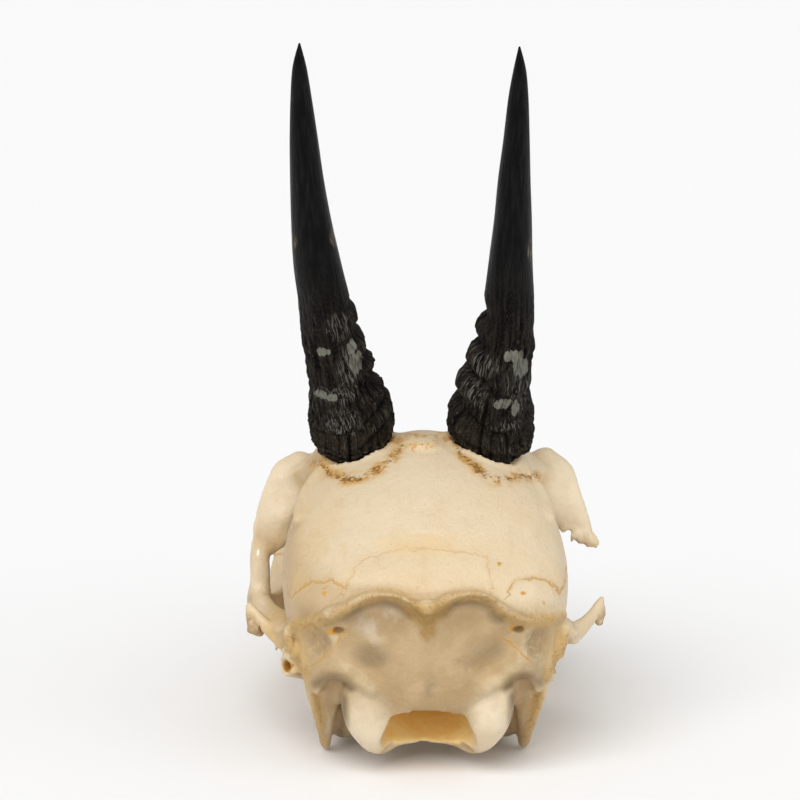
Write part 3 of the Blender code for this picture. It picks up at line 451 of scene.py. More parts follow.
# Seams of the skull bones, each seen along a direction: points in table millimetres. The first
# one is faint.
REAR_VIEW = (0.0, 0.985, -0.174)
FROM_ABOVE = (0, 0, -1)
FAINT = 0.30
SEAMS = (
    (REAR_VIEW, ((-16.7, 9.3, 38.5), (-15.2, 11.2, 41.1), (-13.6, 13.4, 43.3), (-11.6, 14, 44.2),
    (-9.6, 14.4, 44.9), (-5.5, 14.7, 45.6), (0.5, 14.7, 45.8), (4.5, 14.1, 45.3), (9.6, 14.2, 44.8),
    (12, 14.1, 44.2), (12.4, 11.2, 42))), (REAR_VIEW, ((-27.7, 18.3, 35.2), (-25.7, 15.9, 37.4),
    (-24.1, 15, 38.5), (-22.6, 14.2, 39.2), (-20.6, 12.4, 39.2), (-19.6, 12.7, 40.2), (-18, 11, 39.5),
    (-16.7, 9.3, 38.5))), (REAR_VIEW, ((16.6, 9.4, 38.7), (17.5, 11, 39.9), (20.6, 13, 39.7),
    (23.8, 15.1, 39), (25.8, 16.1, 37.3), (26.7, 16.6, 36.1))), (REAR_VIEW, ((-16.7, 6.7, 30.4),
    (-17.7, 6.9, 28.8), (-19.7, 7.7, 26.1), (-22.1, 9.6, 23.6))), (REAR_VIEW, ((15.3, 6.2, 28.7),
    (17.3, 6.8, 26.9), (20.4, 8.4, 24))), (FROM_ABOVE, ((0, 66, 60), (0.2, 80, 57), (-0.2, 96, 52),
    (0, 120, 43), (0, 151, 30))), (FROM_ABOVE, ((-9, 96, 50), (-6, 90, 53), (-3, 87, 54), (0, 89, 54),
    (3, 86.5, 54), (6.2, 90, 53), (9, 96, 50))), ((-1, 0, 0), ((28, 17.5, 36), (28, 24, 39),
    (28, 33, 40), (27, 42, 38), (25, 50, 33))), ((1, 0, 0), ((-28, 18.3, 35.2), (-28, 24, 38.6),
    (-28, 33, 39.6), (-27, 42, 38), (-25, 50, 33))), ((0, 0, 1), ((0, 70, 12), (0, 100, 11),
    (0, 133, 11))), ((0, 0, 1), ((-9, 92, 11), (-5, 97.5, 11), (0, 98.5, 11), (5, 97.5, 11),
    (9, 92, 11))), ((0, 0, 1), ((-9, 35, 6), (0, 36, 6), (9, 35, 6)))
)
# Seams of the sides that have a mirror image.
PAIRED_SEAMS = (
    (FROM_ABOVE, ((-9, 96, 50), (-9.6, 106, 46), (-9.2, 118, 42), (-8.6, 132, 37))), ((-1, 0, 0),
    ((12, 131, 34), (13, 128, 28), (13, 126, 21), (12, 127, 13))), ((-1, 0, 0), ((24, 95.5, 44),
    (23, 104, 40), (22, 112, 34), (24, 106, 27), (26, 98, 26), (28, 91, 28))), ((-1, 0, 0),
    ((26, 98, 26), (24, 103, 20), (24, 98, 14.5), (26, 88, 14.6)))
)

# Marks along lines of the rear: crust, specks, rugged and golden dirt, and a dark band of painted shadow
# with some grime; the reach of each kind in millimetres, and the lines.
LINES = {
    "crust": (1.7, (
        ((-23.4, 50, 56.6), (-21.4, 46.8, 57.3), (-19.3, 43.6, 55.4), (-16.3, 38.5, 55.1),
        (-12.2, 37.1, 56.2), (-8, 39.4, 58.1), (-5.2, 43.8, 59.9), (-4.2, 47.4, 60.9)), ((7.2, 52, 61),
        (8.1, 43.2, 59.4), (10.7, 39.6, 57.5), (13.6, 37, 55.7), (16.9, 39.3, 55), (20.3, 44.8, 54.8),
        (24, 52, 53)))),
    "speckle": (2.6, (
        ((-8, 50, 61.6), (-5, 51, 61.8), (-1, 52, 61.9), (4, 53, 61.8), (8, 54, 61.4)), ((-7, 46, 61),
        (-2.5, 47, 61.2), (1, 49, 61.6)))),
    # A dark band of painted shadow, with some grime, under the crest's bows, under the ledges and in the
    # gaps beside the condyles.
    "shadow": (1.5, (
        ((-3.9, 4.6, 34.4), (-5.2, 4.6, 35.7), (-7, 4.4, 36.8), (-9.2, 4.4, 37.1), (-11.8, 4.8, 36.6),
        (-14.3, 5.6, 35.3), (-16.6, 6.6, 33.8)), ((3, 4.6, 34.6), (4.2, 4.6, 35.9), (6.2, 4.4, 36.9),
        (8.4, 4.4, 37.2), (10.4, 4.8, 36.7), (12.4, 5.4, 35.5), (14.4, 6.4, 33.4)),
        ((-22.6, 11.4, 18.6), (-21, 10.4, 20.2), (-19, 9.4, 20.9), (-17, 9, 20.2), (-15.6, 8.8, 18.4)),
        ((22.6, 11.4, 18.6), (21, 10.4, 20.2), (19, 9.4, 20.9), (17, 9, 20.2), (15.6, 8.8, 18.4)),
        ((-16.9, 12, 16), (-17, 16, 10), (-17.6, 20, 4)), ((16.9, 12, 16), (17, 16, 10), (17.6, 20, 4)))),
    "rugged": (2.2, (
        ((-3.4, 3.6, 35.6), (-1.6, 3.6, 34.4), (-0.4, 3.8, 33)), ((2.4, 3.6, 35.8), (0.8, 3.6, 34.4),
        (-0.4, 3.8, 33)), ((-0.4, 3.8, 33), (-0.3, 4.6, 30.8)))),
    "golden": (1.7, (
        ((-14.3, 4.9, 37), (-16.7, 5.9, 35.3), (-19.3, 7.5, 33.4), (-22, 10, 31.8), (-24.6, 12.6, 30.8),
        (-27.6, 14.8, 30.2)), ((12.2, 4.5, 37.2), (14.2, 5.8, 35.2), (16.2, 6.8, 33.3),
        (18.8, 7.9, 32.2), (22.2, 10.4, 31.4), (25, 13, 31.4), (27.6, 15, 31.4)), ((-28.6, 14.9, 27.1),
        (-27.2, 15, 24.6), (-25.8, 15.2, 22.6), (-24.8, 15.6, 20.2)), ((28.4, 15, 26.9),
        (27, 15.1, 24.6), (25.6, 15.4, 21.4), (24.4, 15.8, 18.8)), ((-22.6, 20, 14), (-22.2, 24, 8),
        (-21, 28, 2)), ((22.6, 20, 14), (22.2, 24, 8), (21, 28, 2)),
        tuple(row[:3] for row in LEFT_CREST[:11]), tuple(row[:3] for row in RIGHT_CREST[:11]))),
}

# Stains, patches of painted shade, and pale patches that are partly painted light: place and reach in
# millimetres.
STAINS = {
    "orange": (
        (-19.3, 7.6, 30.3, 1.5, 2, 0.7), (16.9, 6.7, 30.7, 1, 2, 1), (-20.7, 11.2, 37.6, 0.4, 2, 0.9),
        (19, 9.9, 37.5, 0.3, 2, 0.7), (23.1, 11.5, 35.3, 0.3, 2, 0.6), (14.8, 13.5, 42.9, 0.4, 2, 0.4),
        (-27.9, 27, 18.4, 1.7, 2.6, 1.3), (-33.4, 40, 27.6, 1.2, 3.6, 1.1)),
    "tan": (
        (-29, 40, 26.4, 5, 12, 2.6), (-24, 12.4, 30.4, 5, 4, 1.7), (22, 11, 31.6, 7, 4, 1.7),
        (-0.5, 3.4, 33.8, 3, 3, 2.4), (-26.4, 15, 24, 4.6, 5, 7), (26.4, 15, 24, 4.6, 5, 7),
        (-23, 20, 12, 2.4, 9, 10), (23, 20, 12, 2.4, 9, 10), (-31, 33, 23, 4, 6, 4)),
    "warm": (
        (-34, 59, 35, 3, 4, 3), (-29, 59, 42, 3, 3, 6), (-24, 56, 52, 4, 5, 3), (26, 57, 51, 5, 5, 3.4),
        (-2, 50, 61.5, 9, 8, 2), (-25, 24, 38, 3, 10, 3), (25, 22, 38, 3, 10, 3),
        (0, 15, 46.5, 12, 5, 2.4), (-34, 59, 24, 3, 4, 3), (30.4, 59, 41, 1.6, 3, 2.6)),
    # Pale patches; on the bars of the eye sockets they are painted light.
    "pale": (
        (-29.6, 60, 47, 8, 5, 9), (30.6, 60, 46, 9, 5, 10), (-34.4, 59, 31, 3, 4, 7),
        (-12.4, 9, 11, 5.4, 7, 9), (12.4, 9, 11.4, 5.6, 7, 9)),
    "grey": (
        (-36.2, 38, 24.6, 1.8, 3, 3), (-34.2, 38, 23.2, 1.8, 3, 1.4), (37, 40, 25.2, 1.8, 3, 2.6),
        (30.6, 33, 23.6, 1.3, 2.6, 1.5), (-22.2, 10, 27.4, 4, 4, 3.6), (21.8, 10, 27, 4.2, 4, 3.9),
        (30.2, 79, 22.6, 2, 2.4, 3), (7.6, 6, 24.4, 3, 4, 1.6)),
    "white": (
        (-9.6, 6, 32.6, 5.4, 4, 4.6),),
    # Painted shade under the crest's bows, in the fossae, down the middle and under the ledges beside the
    # condyles.
    "painted_shade": (
        (-9, 5, 36.4, 6.4, 3.4, 1.8), (-15, 6.4, 33.6, 3.6, 3.4, 2), (8.4, 5, 36.6, 6.4, 3.4, 1.8),
        (14.4, 6.4, 33.6, 3, 3.4, 2), (-11, 8, 25.6, 4.6, 4, 3), (11, 8, 26.6, 5, 4, 3.2),
        (0, 8, 19.4, 1.4, 4, 3.4), (-18, 9, 20.6, 3.4, 4, 1.6), (18, 9, 20.6, 3.4, 4, 1.6)),
    "glue": (
        (-34.6, 58.6, 40.6, 0.22, 1.6, 0.18), (-33.9, 58.6, 39.4, 0.2, 1.6, 0.14),
        (-34.6, 58.4, 35.9, 0.22, 1.6, 0.16), (-33.1, 58.4, 36.4, 0.26, 1.6, 0.16),
        (-33.7, 58.4, 35.4, 0.18, 1.6, 0.2)),
}


def blend_rows(rows, steps):
    """Smooth rows between the given ones, as a Catmull-Rom curve through them."""
    rows = np.array(rows, float)
    last = len(rows) - 1
    out = []
    for i in range(last):
        a, b, c, d = rows[max(i - 1, 0)], rows[i], rows[i + 1], rows[min(i + 2, last)]
        for k in range(steps):
            t = k / steps
            out.append(0.5 * (2 * b + (c - a) * t + (2 * a - 5 * b + 4 * c - d) * t * t
                              + (3 * b - a - 3 * c + d) * t ** 3))
    return np.array(out + [rows[last]])


def sided(rows, side):
    """The same path on a side; it is given for the right one."""
    return [(side * row[0],) + tuple(row[1:]) for row in rows]


def grid_axes(first, end):
    """The coordinates of a part of the grid, shaped so that they combine."""
    return [(LOW[i] + PITCH * np.arange(first[i], end[i])).astype(np.float32).reshape(
        [-1 if i == k else 1 for k in range(3)]) for i in range(3)]


def window(low, high):
    """The part of the grid between two corners, and its coordinates."""
    first = np.clip(np.floor((np.array(low) - LOW) / PITCH).astype(int), 0, COUNT - 1)
    end = np.clip(np.ceil((np.array(high) - LOW) / PITCH).astype(int) + 1, first + 1, COUNT)
    return tuple(slice(a, b) for a, b in zip(first, end)), grid_axes(first, end)


def smooth_min(a, b, k):
    """The smaller of two distances, with a fillet of about k where they meet."""
    h = np.clip(0.5 + 0.5 * (b - a) / k, 0, 1)
    return b * (1 - h) + a * h - k * h * (1 - h)


def dot(parts, vector):
    """The product of three coordinates with a vector."""
    return parts[0] * vector[0] + parts[1] * vector[1] + parts[2] * vector[2]


def body_distance():
    """Distance to the brain case and face, one cross-section at a time."""
    out = np.full(COUNT, FAR, np.float32)
    columns = blend_rows(BODY, BODY_STEPS).T
    ys = columns[0]
    x = np.abs(LOW[0] + PITCH * np.arange(COUNT[0])).astype(np.float32)[:, None]
    z = (LOW[2] + PITCH * np.arange(COUNT[2])).astype(np.float32)[None, :]
    for j in range(COUNT[1]):
        y = LOW[1] + PITCH * j
        if y < ys[0] - 4 or y > ys[-1] + 4:
            continue
        half, middle, top, bottom, above, below = (np.interp(y, ys, c) for c in columns[1:])
        up = z >= middle
        power = np.where(up, above, below)
        reach = np.where(up, top - middle, middle - bottom)
        a = x / half
        b = np.abs(z - middle) / reach
        value = (a ** power + b ** power + 1e-6) ** (1 / power)
        slope = (np.sqrt((a ** (power - 1) / half) ** 2 + (b ** (power - 1) / reach) ** 2)
                 * value ** (1 - power) + 1e-4)
        d = np.clip((value - 1) / slope, -FAR, FAR)
        out[:, j] = np.maximum(d, max(ys[0] - y, y - ys[-1]))
    return out


def bar_distance(rows, wide, cap=None):
    """Distance to a bar along a path of flattened sections, in a window of the grid.

    Its ends are round, or reach out by cap where that is given.
    """
    rows = blend_rows(rows, BAR_STEPS)
    centres, radii = rows[:, :3], rows[:, 3:5]
    most = radii.max() + MARGIN
    slices, axes = window(centres.min(0) - most, centres.max(0) + most)
    out = np.full(np.broadcast_shapes(*(axis.shape for axis in axes)), FAR, np.float32)
    wide = np.array(wide, float)
    last = len(centres) - 1
    for i in range(last):
        a, b = centres[i], centres[i + 1]
        span = b - a
        along = centres[min(i + 2, last)] - centres[max(i - 1, 0)]
        along = along / np.linalg.norm(along)
        u = wide - along * (wide @ along)
        u = u / np.linalg.norm(u)
        v = np.cross(along, u)
        reach = max(radii[i].max(), radii[i + 1].max()) + MARGIN
        part, place = window(np.minimum(a, b) - reach, np.maximum(a, b) + reach)
        place = [place[k] - a[k] for k in range(3)]
        t = np.clip(dot(place, span) / float(span @ span), 0, 1)
        off = [place[k] - t * span[k] for k in range(3)]
        ru = radii[i, 0] + t * (radii[i + 1, 0] - radii[i, 0])
        rv = radii[i, 1] + t * (radii[i + 1, 1] - radii[i, 1])
        ra = np.minimum(ru, rv) if cap is None else cap
        qu, qv, qa = dot(off, u) / ru, dot(off, v) / rv, dot(off, along) / ra
        size = np.sqrt(qu * qu + qv * qv + qa * qa) + 1e-5
        slope = np.sqrt((qu / ru) ** 2 + (qv / rv) ** 2 + (qa / ra) ** 2) + 1e-5
        local = tuple(slice(p.start - s.start, p.stop - s.start) for p, s in zip(part, slices))
        out[local] = np.minimum(out[local], size * (size - 1) / slope)
    return slices, out


def ball_distance(centre, radii, turn=0.0):
    """Distance to an ellipsoid, turned about the vertical by some degrees."""
    centre = np.array(centre, float)
    reach = max(radii) + MARGIN
    slices, place = window(centre - reach, centre + reach)
    x, y, z = [place[k] - centre[k] for k in range(3)]
    c, s = math.cos(math.radians(turn)), math.sin(math.radians(turn))
    a = (x * c + y * s) / radii[0]
    b = (y * c - x * s) / radii[1]
    e = z / radii[2]
    size = np.sqrt(a * a + b * b + e * e) + 1e-5
    slope = np.sqrt((a / radii[0]) ** 2 + (b / radii[1]) ** 2 + (e / radii[2]) ** 2) + 1e-5
    return slices, size * (size - 1) / slope


def add(field, piece, k):
    """Melts a piece into the field."""
    slices, d = piece
    field[slices] = smooth_min(field[slices], d, k)


def carve(field, piece, k):
    """Takes a piece out of the field."""
    slices, d = piece
    field[slices] = -smooth_min(-field[slices], d, k)


def add_bars(field, bars, side=RIGHT, step=add):
    """Melts in bars on a side, or carves them out."""
    for k, wide, rows, *cap in bars:
        step(field, bar_distance(sided(rows, side), (side * wide[0],) + wide[1:], *cap), k)


def carve_balls(field, balls, sides=(LEFT, RIGHT)):
    """Takes balls out on some sides."""
    for side in sides:
        for x, y, z, a, b, c, turn, k in balls:
            carve(field, ball_distance((side * x, y, z), (a, b, c), side * turn), k)


def grid_noise(cell, seed):
    """Smooth noise over the whole grid, about -1 to 1, with lumps of about cell millimetres."""
    weights = []
    for n in COUNT:
        place = np.arange(n) * PITCH / cell
        base = place.astype(int)
        t = place - base
        matrix = np.zeros((n, int(place[-1]) + 4), np.float32)
        for k, weight in enumerate(((1 - t) ** 3, 3 * t ** 3 - 6 * t ** 2 + 4,
                                    -3 * t ** 3 + 3 * t ** 2 + 3 * t + 1, t ** 3)):
            matrix[np.arange(n), base + k] = weight / 6
        weights.append(matrix)
    rng = np.random.default_rng(seed)
    values = rng.uniform(-1, 1, [matrix.shape[1] for matrix in weights]).astype(np.float32)
    for i, matrix in enumerate(weights):
        values = np.moveaxis(np.tensordot(matrix, values, axes=(1, i)), 0, i)
    return values * 1.8


def carved_bone():
    """The distance field of the bare bone."""
    field = body_distance()
    add_bars(field, MIDDLE_BARS)
    for side in (LEFT, RIGHT):
        add_bars(field, PAIRED_BARS, side)
    add_bars(field, SIDE_BARS)
    for side in (RIGHT, LEFT):
        add_bars(field, FLANGE_WEB, side)
    add_bars(field, LEFT_EYE_BAR)
    carve_balls(field, WEB_HOLLOW)
    add_bars(field, BROKEN_BARS)
    carve_balls(field, EYE_HOLLOW)
    carve_balls(field, BAR_NOTCHES, (RIGHT,))
    add(field, ball_distance(*FOREHEAD_SWELLING), 1.6)
    for a, b in SPLINTERS:
        add_bars(field, ((0.5, ALONG, (a + (a[3],), b + (b[3],))),))
    shape_occiput(field)
    carve_balls(field, FACE_HOLLOWS)
    hollow_out(field)
    return field


def shape_occiput(field):
    """The crest, fossae, ledges, processes and condyles of the rear."""
    for crest in (LEFT_CREST, RIGHT_CREST):
        root = [(row[0], row[1] + 3.6, row[2] - 1.8, 3.4, 1.4) for row in crest[:10]]
        add_bars(field, ((1.4, (0, -1, 0.3), root), (2.4, (0, -1, 0.4), crest[:9]),
                         (2.0, (0, -1, 0.4), crest[8:])))
    carve_balls(field, REAR_HOLLOWS)
    add_bars(field, OCCIPITAL_KEEL)
    for side in (LEFT, RIGHT):
        add_bars(field, REAR_BARS, side)
        add_bars(field, REAR_GAPS, side, carve)
        add_bars(field, CONDYLE, side)
        add_bars(field, PLATE_EDGES[side])


def hollow_out(field):
    """The brain case, the neck canal, the nose, the throat and the ear holes."""
    add_bars(field, HOLLOWS, RIGHT, carve)
    add_bars(field, NASAL_SEPTUM)
    scroll = [(row[0] - 0.6, row[1] - 0.5, row[2] - 0.6, row[3] * 0.7, row[4] * 0.72)
              for row in NOSE_LEAVES[1][2]]
    for side in (LEFT, RIGHT):
        add_bars(field, NOSE_LEAVES, side)
        add_bars(field, ((0.4, ACROSS, scroll),), side, carve)
    add_bars(field, LEFT_EAR_HOLE, RIGHT, carve)
    carve_balls(field, RIGHT_EAR_HOLE, (RIGHT,))


def rim_centre(side):
    """The middle of a sheath's lower rim."""
    return np.array((side * RIM_PLACE[0],) + RIM_PLACE[1:])


def seat_horns(field):
    """Makes room for the sheaths, and stands the bony cores in them."""
    for side in (LEFT, RIGHT):
        rows = sided(HORN_PATHS[side], side)
        slices, d = bar_distance([row[:3] + (row[3] + SEAT_PLAY, row[4] + SEAT_PLAY)
                                  for row in rows[:8]], ACROSS)
        place = grid_axes([s.start for s in slices], [s.stop for s in slices])
        rim = rim_centre(side)
        d = np.maximum(d, -dot([place[k] - rim[k] for k in range(3)], RIM_UP))
        field[slices] = np.maximum(field[slices], -d)
        less = SHEATH_WALL + CORE_PLAY
        core = [rows[i][:3] + (rows[i][3] - less, rows[i][4] - less) for i in CORE_ROWS]
        core.insert(0, (core[0][0], core[0][1] + 2.4, core[0][2] - 6.0) + core[0][3:])
        add(field, bar_distance(core, ACROSS), 0.6)


def roughen(field):
    """Uneven growth of the bone, and the rough and broken places."""
    x, y, z = grid_axes((0, 0, 0), COUNT)
    rear = np.clip((15 - y) / 8, 0, 1) * np.clip((z - 18) / 6, 0, 1)
    near_horn = np.clip(1 - np.abs(z - 58) / 6, 0, 1) * np.clip(1 - np.abs(y - 48) / 16, 0, 1)
    field += (grid_noise(1.7, 3) * 0.55 + grid_noise(4.5, 4)) * 0.10 * (1 + rear + near_horn)
    for (px, py, pz), size, depth in BROKEN:
        near = np.sqrt((x - px) ** 2 + (y - py) ** 2 + (z - pz) ** 2) / size
        field += np.clip(1 - near, 0, 1) * grid_noise(0.9, int(pz * 10)) * depth


def extract(field):
    """Points and quads of the surface where the field is zero."""
    inside = field < 0
    corners = list(np.ndindex(2, 2, 2))
    nx, ny, nz = [n - 1 for n in field.shape]
    count = np.zeros((nx, ny, nz), np.uint8)
    for i, j, k in corners:
        count += inside[i:nx + i, j:ny + j, k:nz + k]
    active = (count > 0) & (count < 8)
    cells = np.argwhere(active)
    number = np.full(active.shape, -1, np.int32)
    number[active] = np.arange(len(cells))
    values = [field[tuple((cells + corner).T)] for corner in corners]
    total = np.zeros((len(cells), 3))
    hits = np.zeros(len(cells))
    for p, a in enumerate(corners):
        for q, b in enumerate(corners):
            if q <= p or sum(abs(a[i] - b[i]) for i in range(3)) != 1:
                continue
            crossed = (values[p] < 0) != (values[q] < 0)
            t = np.where(crossed, values[p] / np.where(crossed, values[p] - values[q], 1), 0)
            total += (np.array(a) + t[:, None] * (np.array(b) - np.array(a))) * crossed[:, None]
            hits += crossed
    quads = []
    for axis, (u, v) in enumerate(((1, 2), (2, 0), (0, 1))):
        low = [slice(1, n - 1) for n in field.shape]
        high = list(low)
        low[axis] = slice(0, field.shape[axis] - 1)
        high[axis] = slice(1, field.shape[axis])
        a, b = inside[tuple(low)], inside[tuple(high)]
        for found, turn in ((a & ~b, 1), (b & ~a, -1)):
            base = np.argwhere(found) + [0 if i == axis else 1 for i in range(3)]
            ring = []
            for du, dv in ((-1, -1), (0, -1), (0, 0), (-1, 0)):
                cell = base.copy()
                cell[:, u] += du
                cell[:, v] += dv
                ring.append(number[tuple(cell.T)])
            quads.append(np.stack(ring, 1)[:, ::turn])
    return LOW + PITCH * (cells + total / hits[:, None]), np.concatenate(quads)


def biggest_body(points, quads):
    """Leaves out loose crumbs of the surface."""
    parent = np.arange(len(points))
    edges = np.concatenate([quads[:, [0, 1]], quads[:, [1, 2]], quads[:, [2, 3]]])
    for _ in range(200):
        low = np.minimum(parent[edges[:, 0]], parent[edges[:, 1]])
        fresh = parent.copy()
        np.minimum.at(fresh, edges[:, 0], low)
        np.minimum.at(fresh, edges[:, 1], low)
        fresh = fresh[fresh]
        fresh = fresh[fresh]
        if (fresh == parent).all():
            break
        parent = fresh
    names, sizes = np.unique(parent, return_counts=True)
    keep = parent == names[np.argmax(sizes)]
    order = np.cumsum(keep) - 1
    return points[keep], order[quads[keep[quads[:, 0]]]]


def linked(name, mesh):
    """A smooth object of the scene with that mesh."""
    mesh.shade_smooth()
    obj = bpy.data.objects.new(name, mesh)
    bpy.context.scene.collection.objects.link(obj)
    return obj


def quad_object(name, points, quads):
    """A mesh object from points in table millimetres and many quads."""
    mesh = bpy.data.meshes.new(name)
    mesh.vertices.add(len(points))
    mesh.vertices.foreach_set("co", ((points + SHIFT) * MM).astype(np.float32).ravel())
    mesh.loops.add(quads.size)
    mesh.loops.foreach_set("vertex_index", quads.astype(np.int32).ravel())
    mesh.polygons.add(len(quads))
    mesh.polygons.foreach_set("loop_start", np.arange(0, quads.size, 4, dtype=np.int32))
    mesh.update(calc_edges=True)
    mesh.validate()
    return linked(name, mesh)


def mesh_object(name, points, groups):
    """A mesh object from groups of faces, outward side made consistent."""
    mesh = bpy.data.meshes.new(name)
    faces = [tuple(face) for group in groups for face in group.tolist()]
    mesh.from_pydata(((points + SHIFT) * MM).tolist(), [], faces)
    bm = bmesh.new()
    bm.from_mesh(mesh)
    bmesh.ops.recalc_face_normals(bm, faces=bm.faces)
    bm.to_mesh(mesh)
    bm.free()
    return linked(name, mesh)


def thin_out(obj, most):
    """Decimates a mesh of quads to at most that many triangles."""
    triangles = 2 * len(obj.data.polygons)
    if triangles <= most:
        return
    modifier = obj.modifiers.new("thin", "DECIMATE")
    modifier.ratio = most / triangles
    graph = bpy.context.evaluated_depsgraph_get()
    mesh = bpy.data.meshes.new_from_object(obj.evaluated_get(graph))
    obj.modifiers.clear()
    obj.data = mesh
    mesh.shade_smooth()


def blurred(values, reach):
    """The grid's values evened out twice along each axis, over about reach millimetres."""
    size = max(1, int(round(reach / PITCH)))
    for axis in range(3):
        n = values.shape[axis]
        for _ in range(2):
            widths = [(size, size) if i == axis else (0, 0) for i in range(3)]
            padded = np.pad(values, widths, mode="edge")
            total = np.cumsum(padded, axis, dtype=np.float64)
            lead = np.take(total, range(2 * size, 2 * size + n), axis)
            values = ((lead - np.take(total, range(n), axis)) / (2 * size)).astype(np.float32)
    return values


def sample(values, points):
    """The grid's values at points in table millimetres."""
    place = np.clip((points - LOW) / PITCH, 0, COUNT - 1.001)
    base = place.astype(int)
    t = place - base
    out = np.zeros(len(points))
    for corner in np.ndindex(2, 2, 2):
        out += np.where(corner, t, 1 - t).prod(1) * values[tuple((base + corner).T)]
    return out


def of_points(obj, name):
    """The place or the normal of each point of a mesh."""
    flat = np.empty(len(obj.data.vertices) * 3, np.float32)
    obj.data.vertices.foreach_get(name, flat)
    return flat.reshape(-1, 3)


def table_points(obj):
    """A piece's points in table millimetres."""
    return of_points(obj, "co") / MM - SHIFT


def paint(obj, name, values):
    """Keeps one number for each point of the mesh, for the materials to read."""
    attribute = obj.data.attributes.new(name, "FLOAT", "POINT")
    attribute.data.foreach_set("value", np.asarray(values, np.float32))


def all_seams():
    """Every seam: how plain it is, the direction it is seen along, and its line."""
    for index, (view, line) in enumerate(SEAMS):
        yield (FAINT if index == 0 else 1.0), view, line
    for view, line in PAIRED_SEAMS:
        yield 1.0, view, line
        yield 1.0, (-view[0],) + view[1:], sided(line, -1)


def seam_distance(points, normals):
    """Signed distance to the nearest seam in millimetres, and how plain that seam is."""
    best = np.full(len(points), 9.0)
    plain = np.zeros(len(points))
    for plainness, view, line in all_seams():
        view = np.array(view, float)
        line = np.array(line)
        facing = normals @ view < -0.15
        near = facing & (points > line.min(0) - 5).all(1) & (points < line.max(0) + 5).all(1)
        if not near.any():
            continue
        a = np.cross(view, UPWARDS if abs(view[2]) < 0.9 else ALONG)
        a = a / np.linalg.norm(a)
        b = np.cross(view, a)
        flat = np.stack([points[near] @ a, points[near] @ b], 1)
        path = np.stack([line @ a, line @ b], 1)
        found = np.full(len(flat), 9.0)
        for p, q in zip(path, path[1:]):
            span = q - p
            t = np.clip(((flat - p) @ span) / (span @ span), 0, 1)
            off = flat - p - t[:, None] * span
            size = np.linalg.norm(off, axis=1)
            signed = np.where(off[:, 0] * span[1] < off[:, 1] * span[0], -size, size)
            found = np.where(size < np.abs(found), signed, found)
        closer = np.abs(found) < np.abs(best[near])
        best[near] = np.where(closer, found, best[near])
        plain[near] = np.where(closer, plainness, plain[near])
    return best, plain


def nearness(points, normals, lines, reach):
    """How near each point of the rear seems to some lines from behind, 1 on them and 0 a reach away."""
    best = np.full(len(points), 99.0)
    view = np.array(REAR_VIEW)
    flat = np.eye(3) - np.outer(view, view)
    seen = np.clip(-(normals @ view) * 4 + 0.2, 0, 1) * (points[:, 1] < 62)
    points = points @ flat
    for line in lines:
        line = np.array(line) @ flat
        for p, q in zip(line, line[1:]):
            span = q - p
            t = np.clip(((points - p) @ span) / (span @ span), 0, 1)
            best = np.minimum(best, np.linalg.norm(points - p - t[:, None] * span, axis=1))
    return np.clip(1 - best / reach, 0, 1) * seen


def lining(points, normals):
    """How strongly each point takes the honey colour and the painted glow of the brain case and the neck
    canal.
    """
    field = np.full(COUNT, FAR, np.float32)
    for _, wide, rows, *cap in (NECK_CANAL, BRAIN_HOLLOW):
        slices, d = bar_distance(rows, wide, *cap)
        field[slices] = np.minimum(field[slices], d)
    y = points[:, 1]
    middle = np.clip(y, 14, 52)
    inwards = np.stack([0 * y, middle, 10 + 0.6 * middle], 1) - points
    facing = (normals * inwards).sum(1) / (np.linalg.norm(inwards, axis=1) + 1e-6)
    amount = np.clip(1.4 - sample(field, points) / 0.7, 0, 1) * np.clip((y - 9.5) / 3, 0, 1)
    return amount * np.clip(facing * 3 + 0.4, 0, 1) * np.clip((58 - y) / 4, 0, 1)


def build_skull():
    """The skull's mesh with the values that its material reads."""
    field = carved_bone()
    seat_horns(field)
    roughen(field)
    points, quads = biggest_body(*extract(field))
    points[:, 1] = HALF_LENGTH + (points[:, 1] - HALF_LENGTH) * SNUG
    skull = quad_object("skull_bone", points, quads)
    thin_out(skull, MOST_TRIANGLES)
    points = table_points(skull)
    normals = of_points(skull, "normal")
    # How each point curves and how enclosed it is: creases darkened with grime and painted shade, a
    # painted highlight on ridges, recesses tan with dirt and painted shade.
    near = np.clip(field, -4, 4)
    hollow = sample(blurred(near, 1.0), points) - sample(near, points)
    filled = blurred((field < 0).astype(np.float32), 4.0)
    enclosed = sample(filled, points + normals * 3.0)
    paint(skull, "crease_grime_shade_ridge_highlight", np.clip(hollow / 0.45, -1, 1))
    paint(skull, "recess_dirt_and_shade", np.clip((enclosed - 0.18) / 0.45, 0, 1))
    seam, plain = seam_distance(points, normals)
    paint(skull, "seam", seam)
    paint(skull, "plain", plain)
    for kind, (reach, lines) in LINES.items():
        paint(skull, kind, nearness(points, normals, lines, reach))
    for kind, stains in STAINS.items():
        amount = np.zeros(len(points))
        for stain in stains:
            far = (((points - stain[:3]) / stain[3:]) ** 2).sum(1)
            amount = np.maximum(amount, np.clip(1.25 - far, 0, 1))
        paint(skull, kind, amount)
    x, y, z = points.T
    rear = np.clip((17 - y) / 5, 0, 1) * np.clip((36.5 - z) / 3, 0, 1)
    condyle = np.clip(1.3 - ((np.abs(x) - 13.0) / 5.2) ** 2 - ((y - 14.0) / 8.0) ** 2
                      - ((z - 9.5) / 9.5) ** 2, 0, 1)
    paint(skull, "dull", rear * (1 - condyle))
    paint(skull, "polish", condyle)
    paint(skull, "honey_and_glow", lining(points, normals))
    return skull


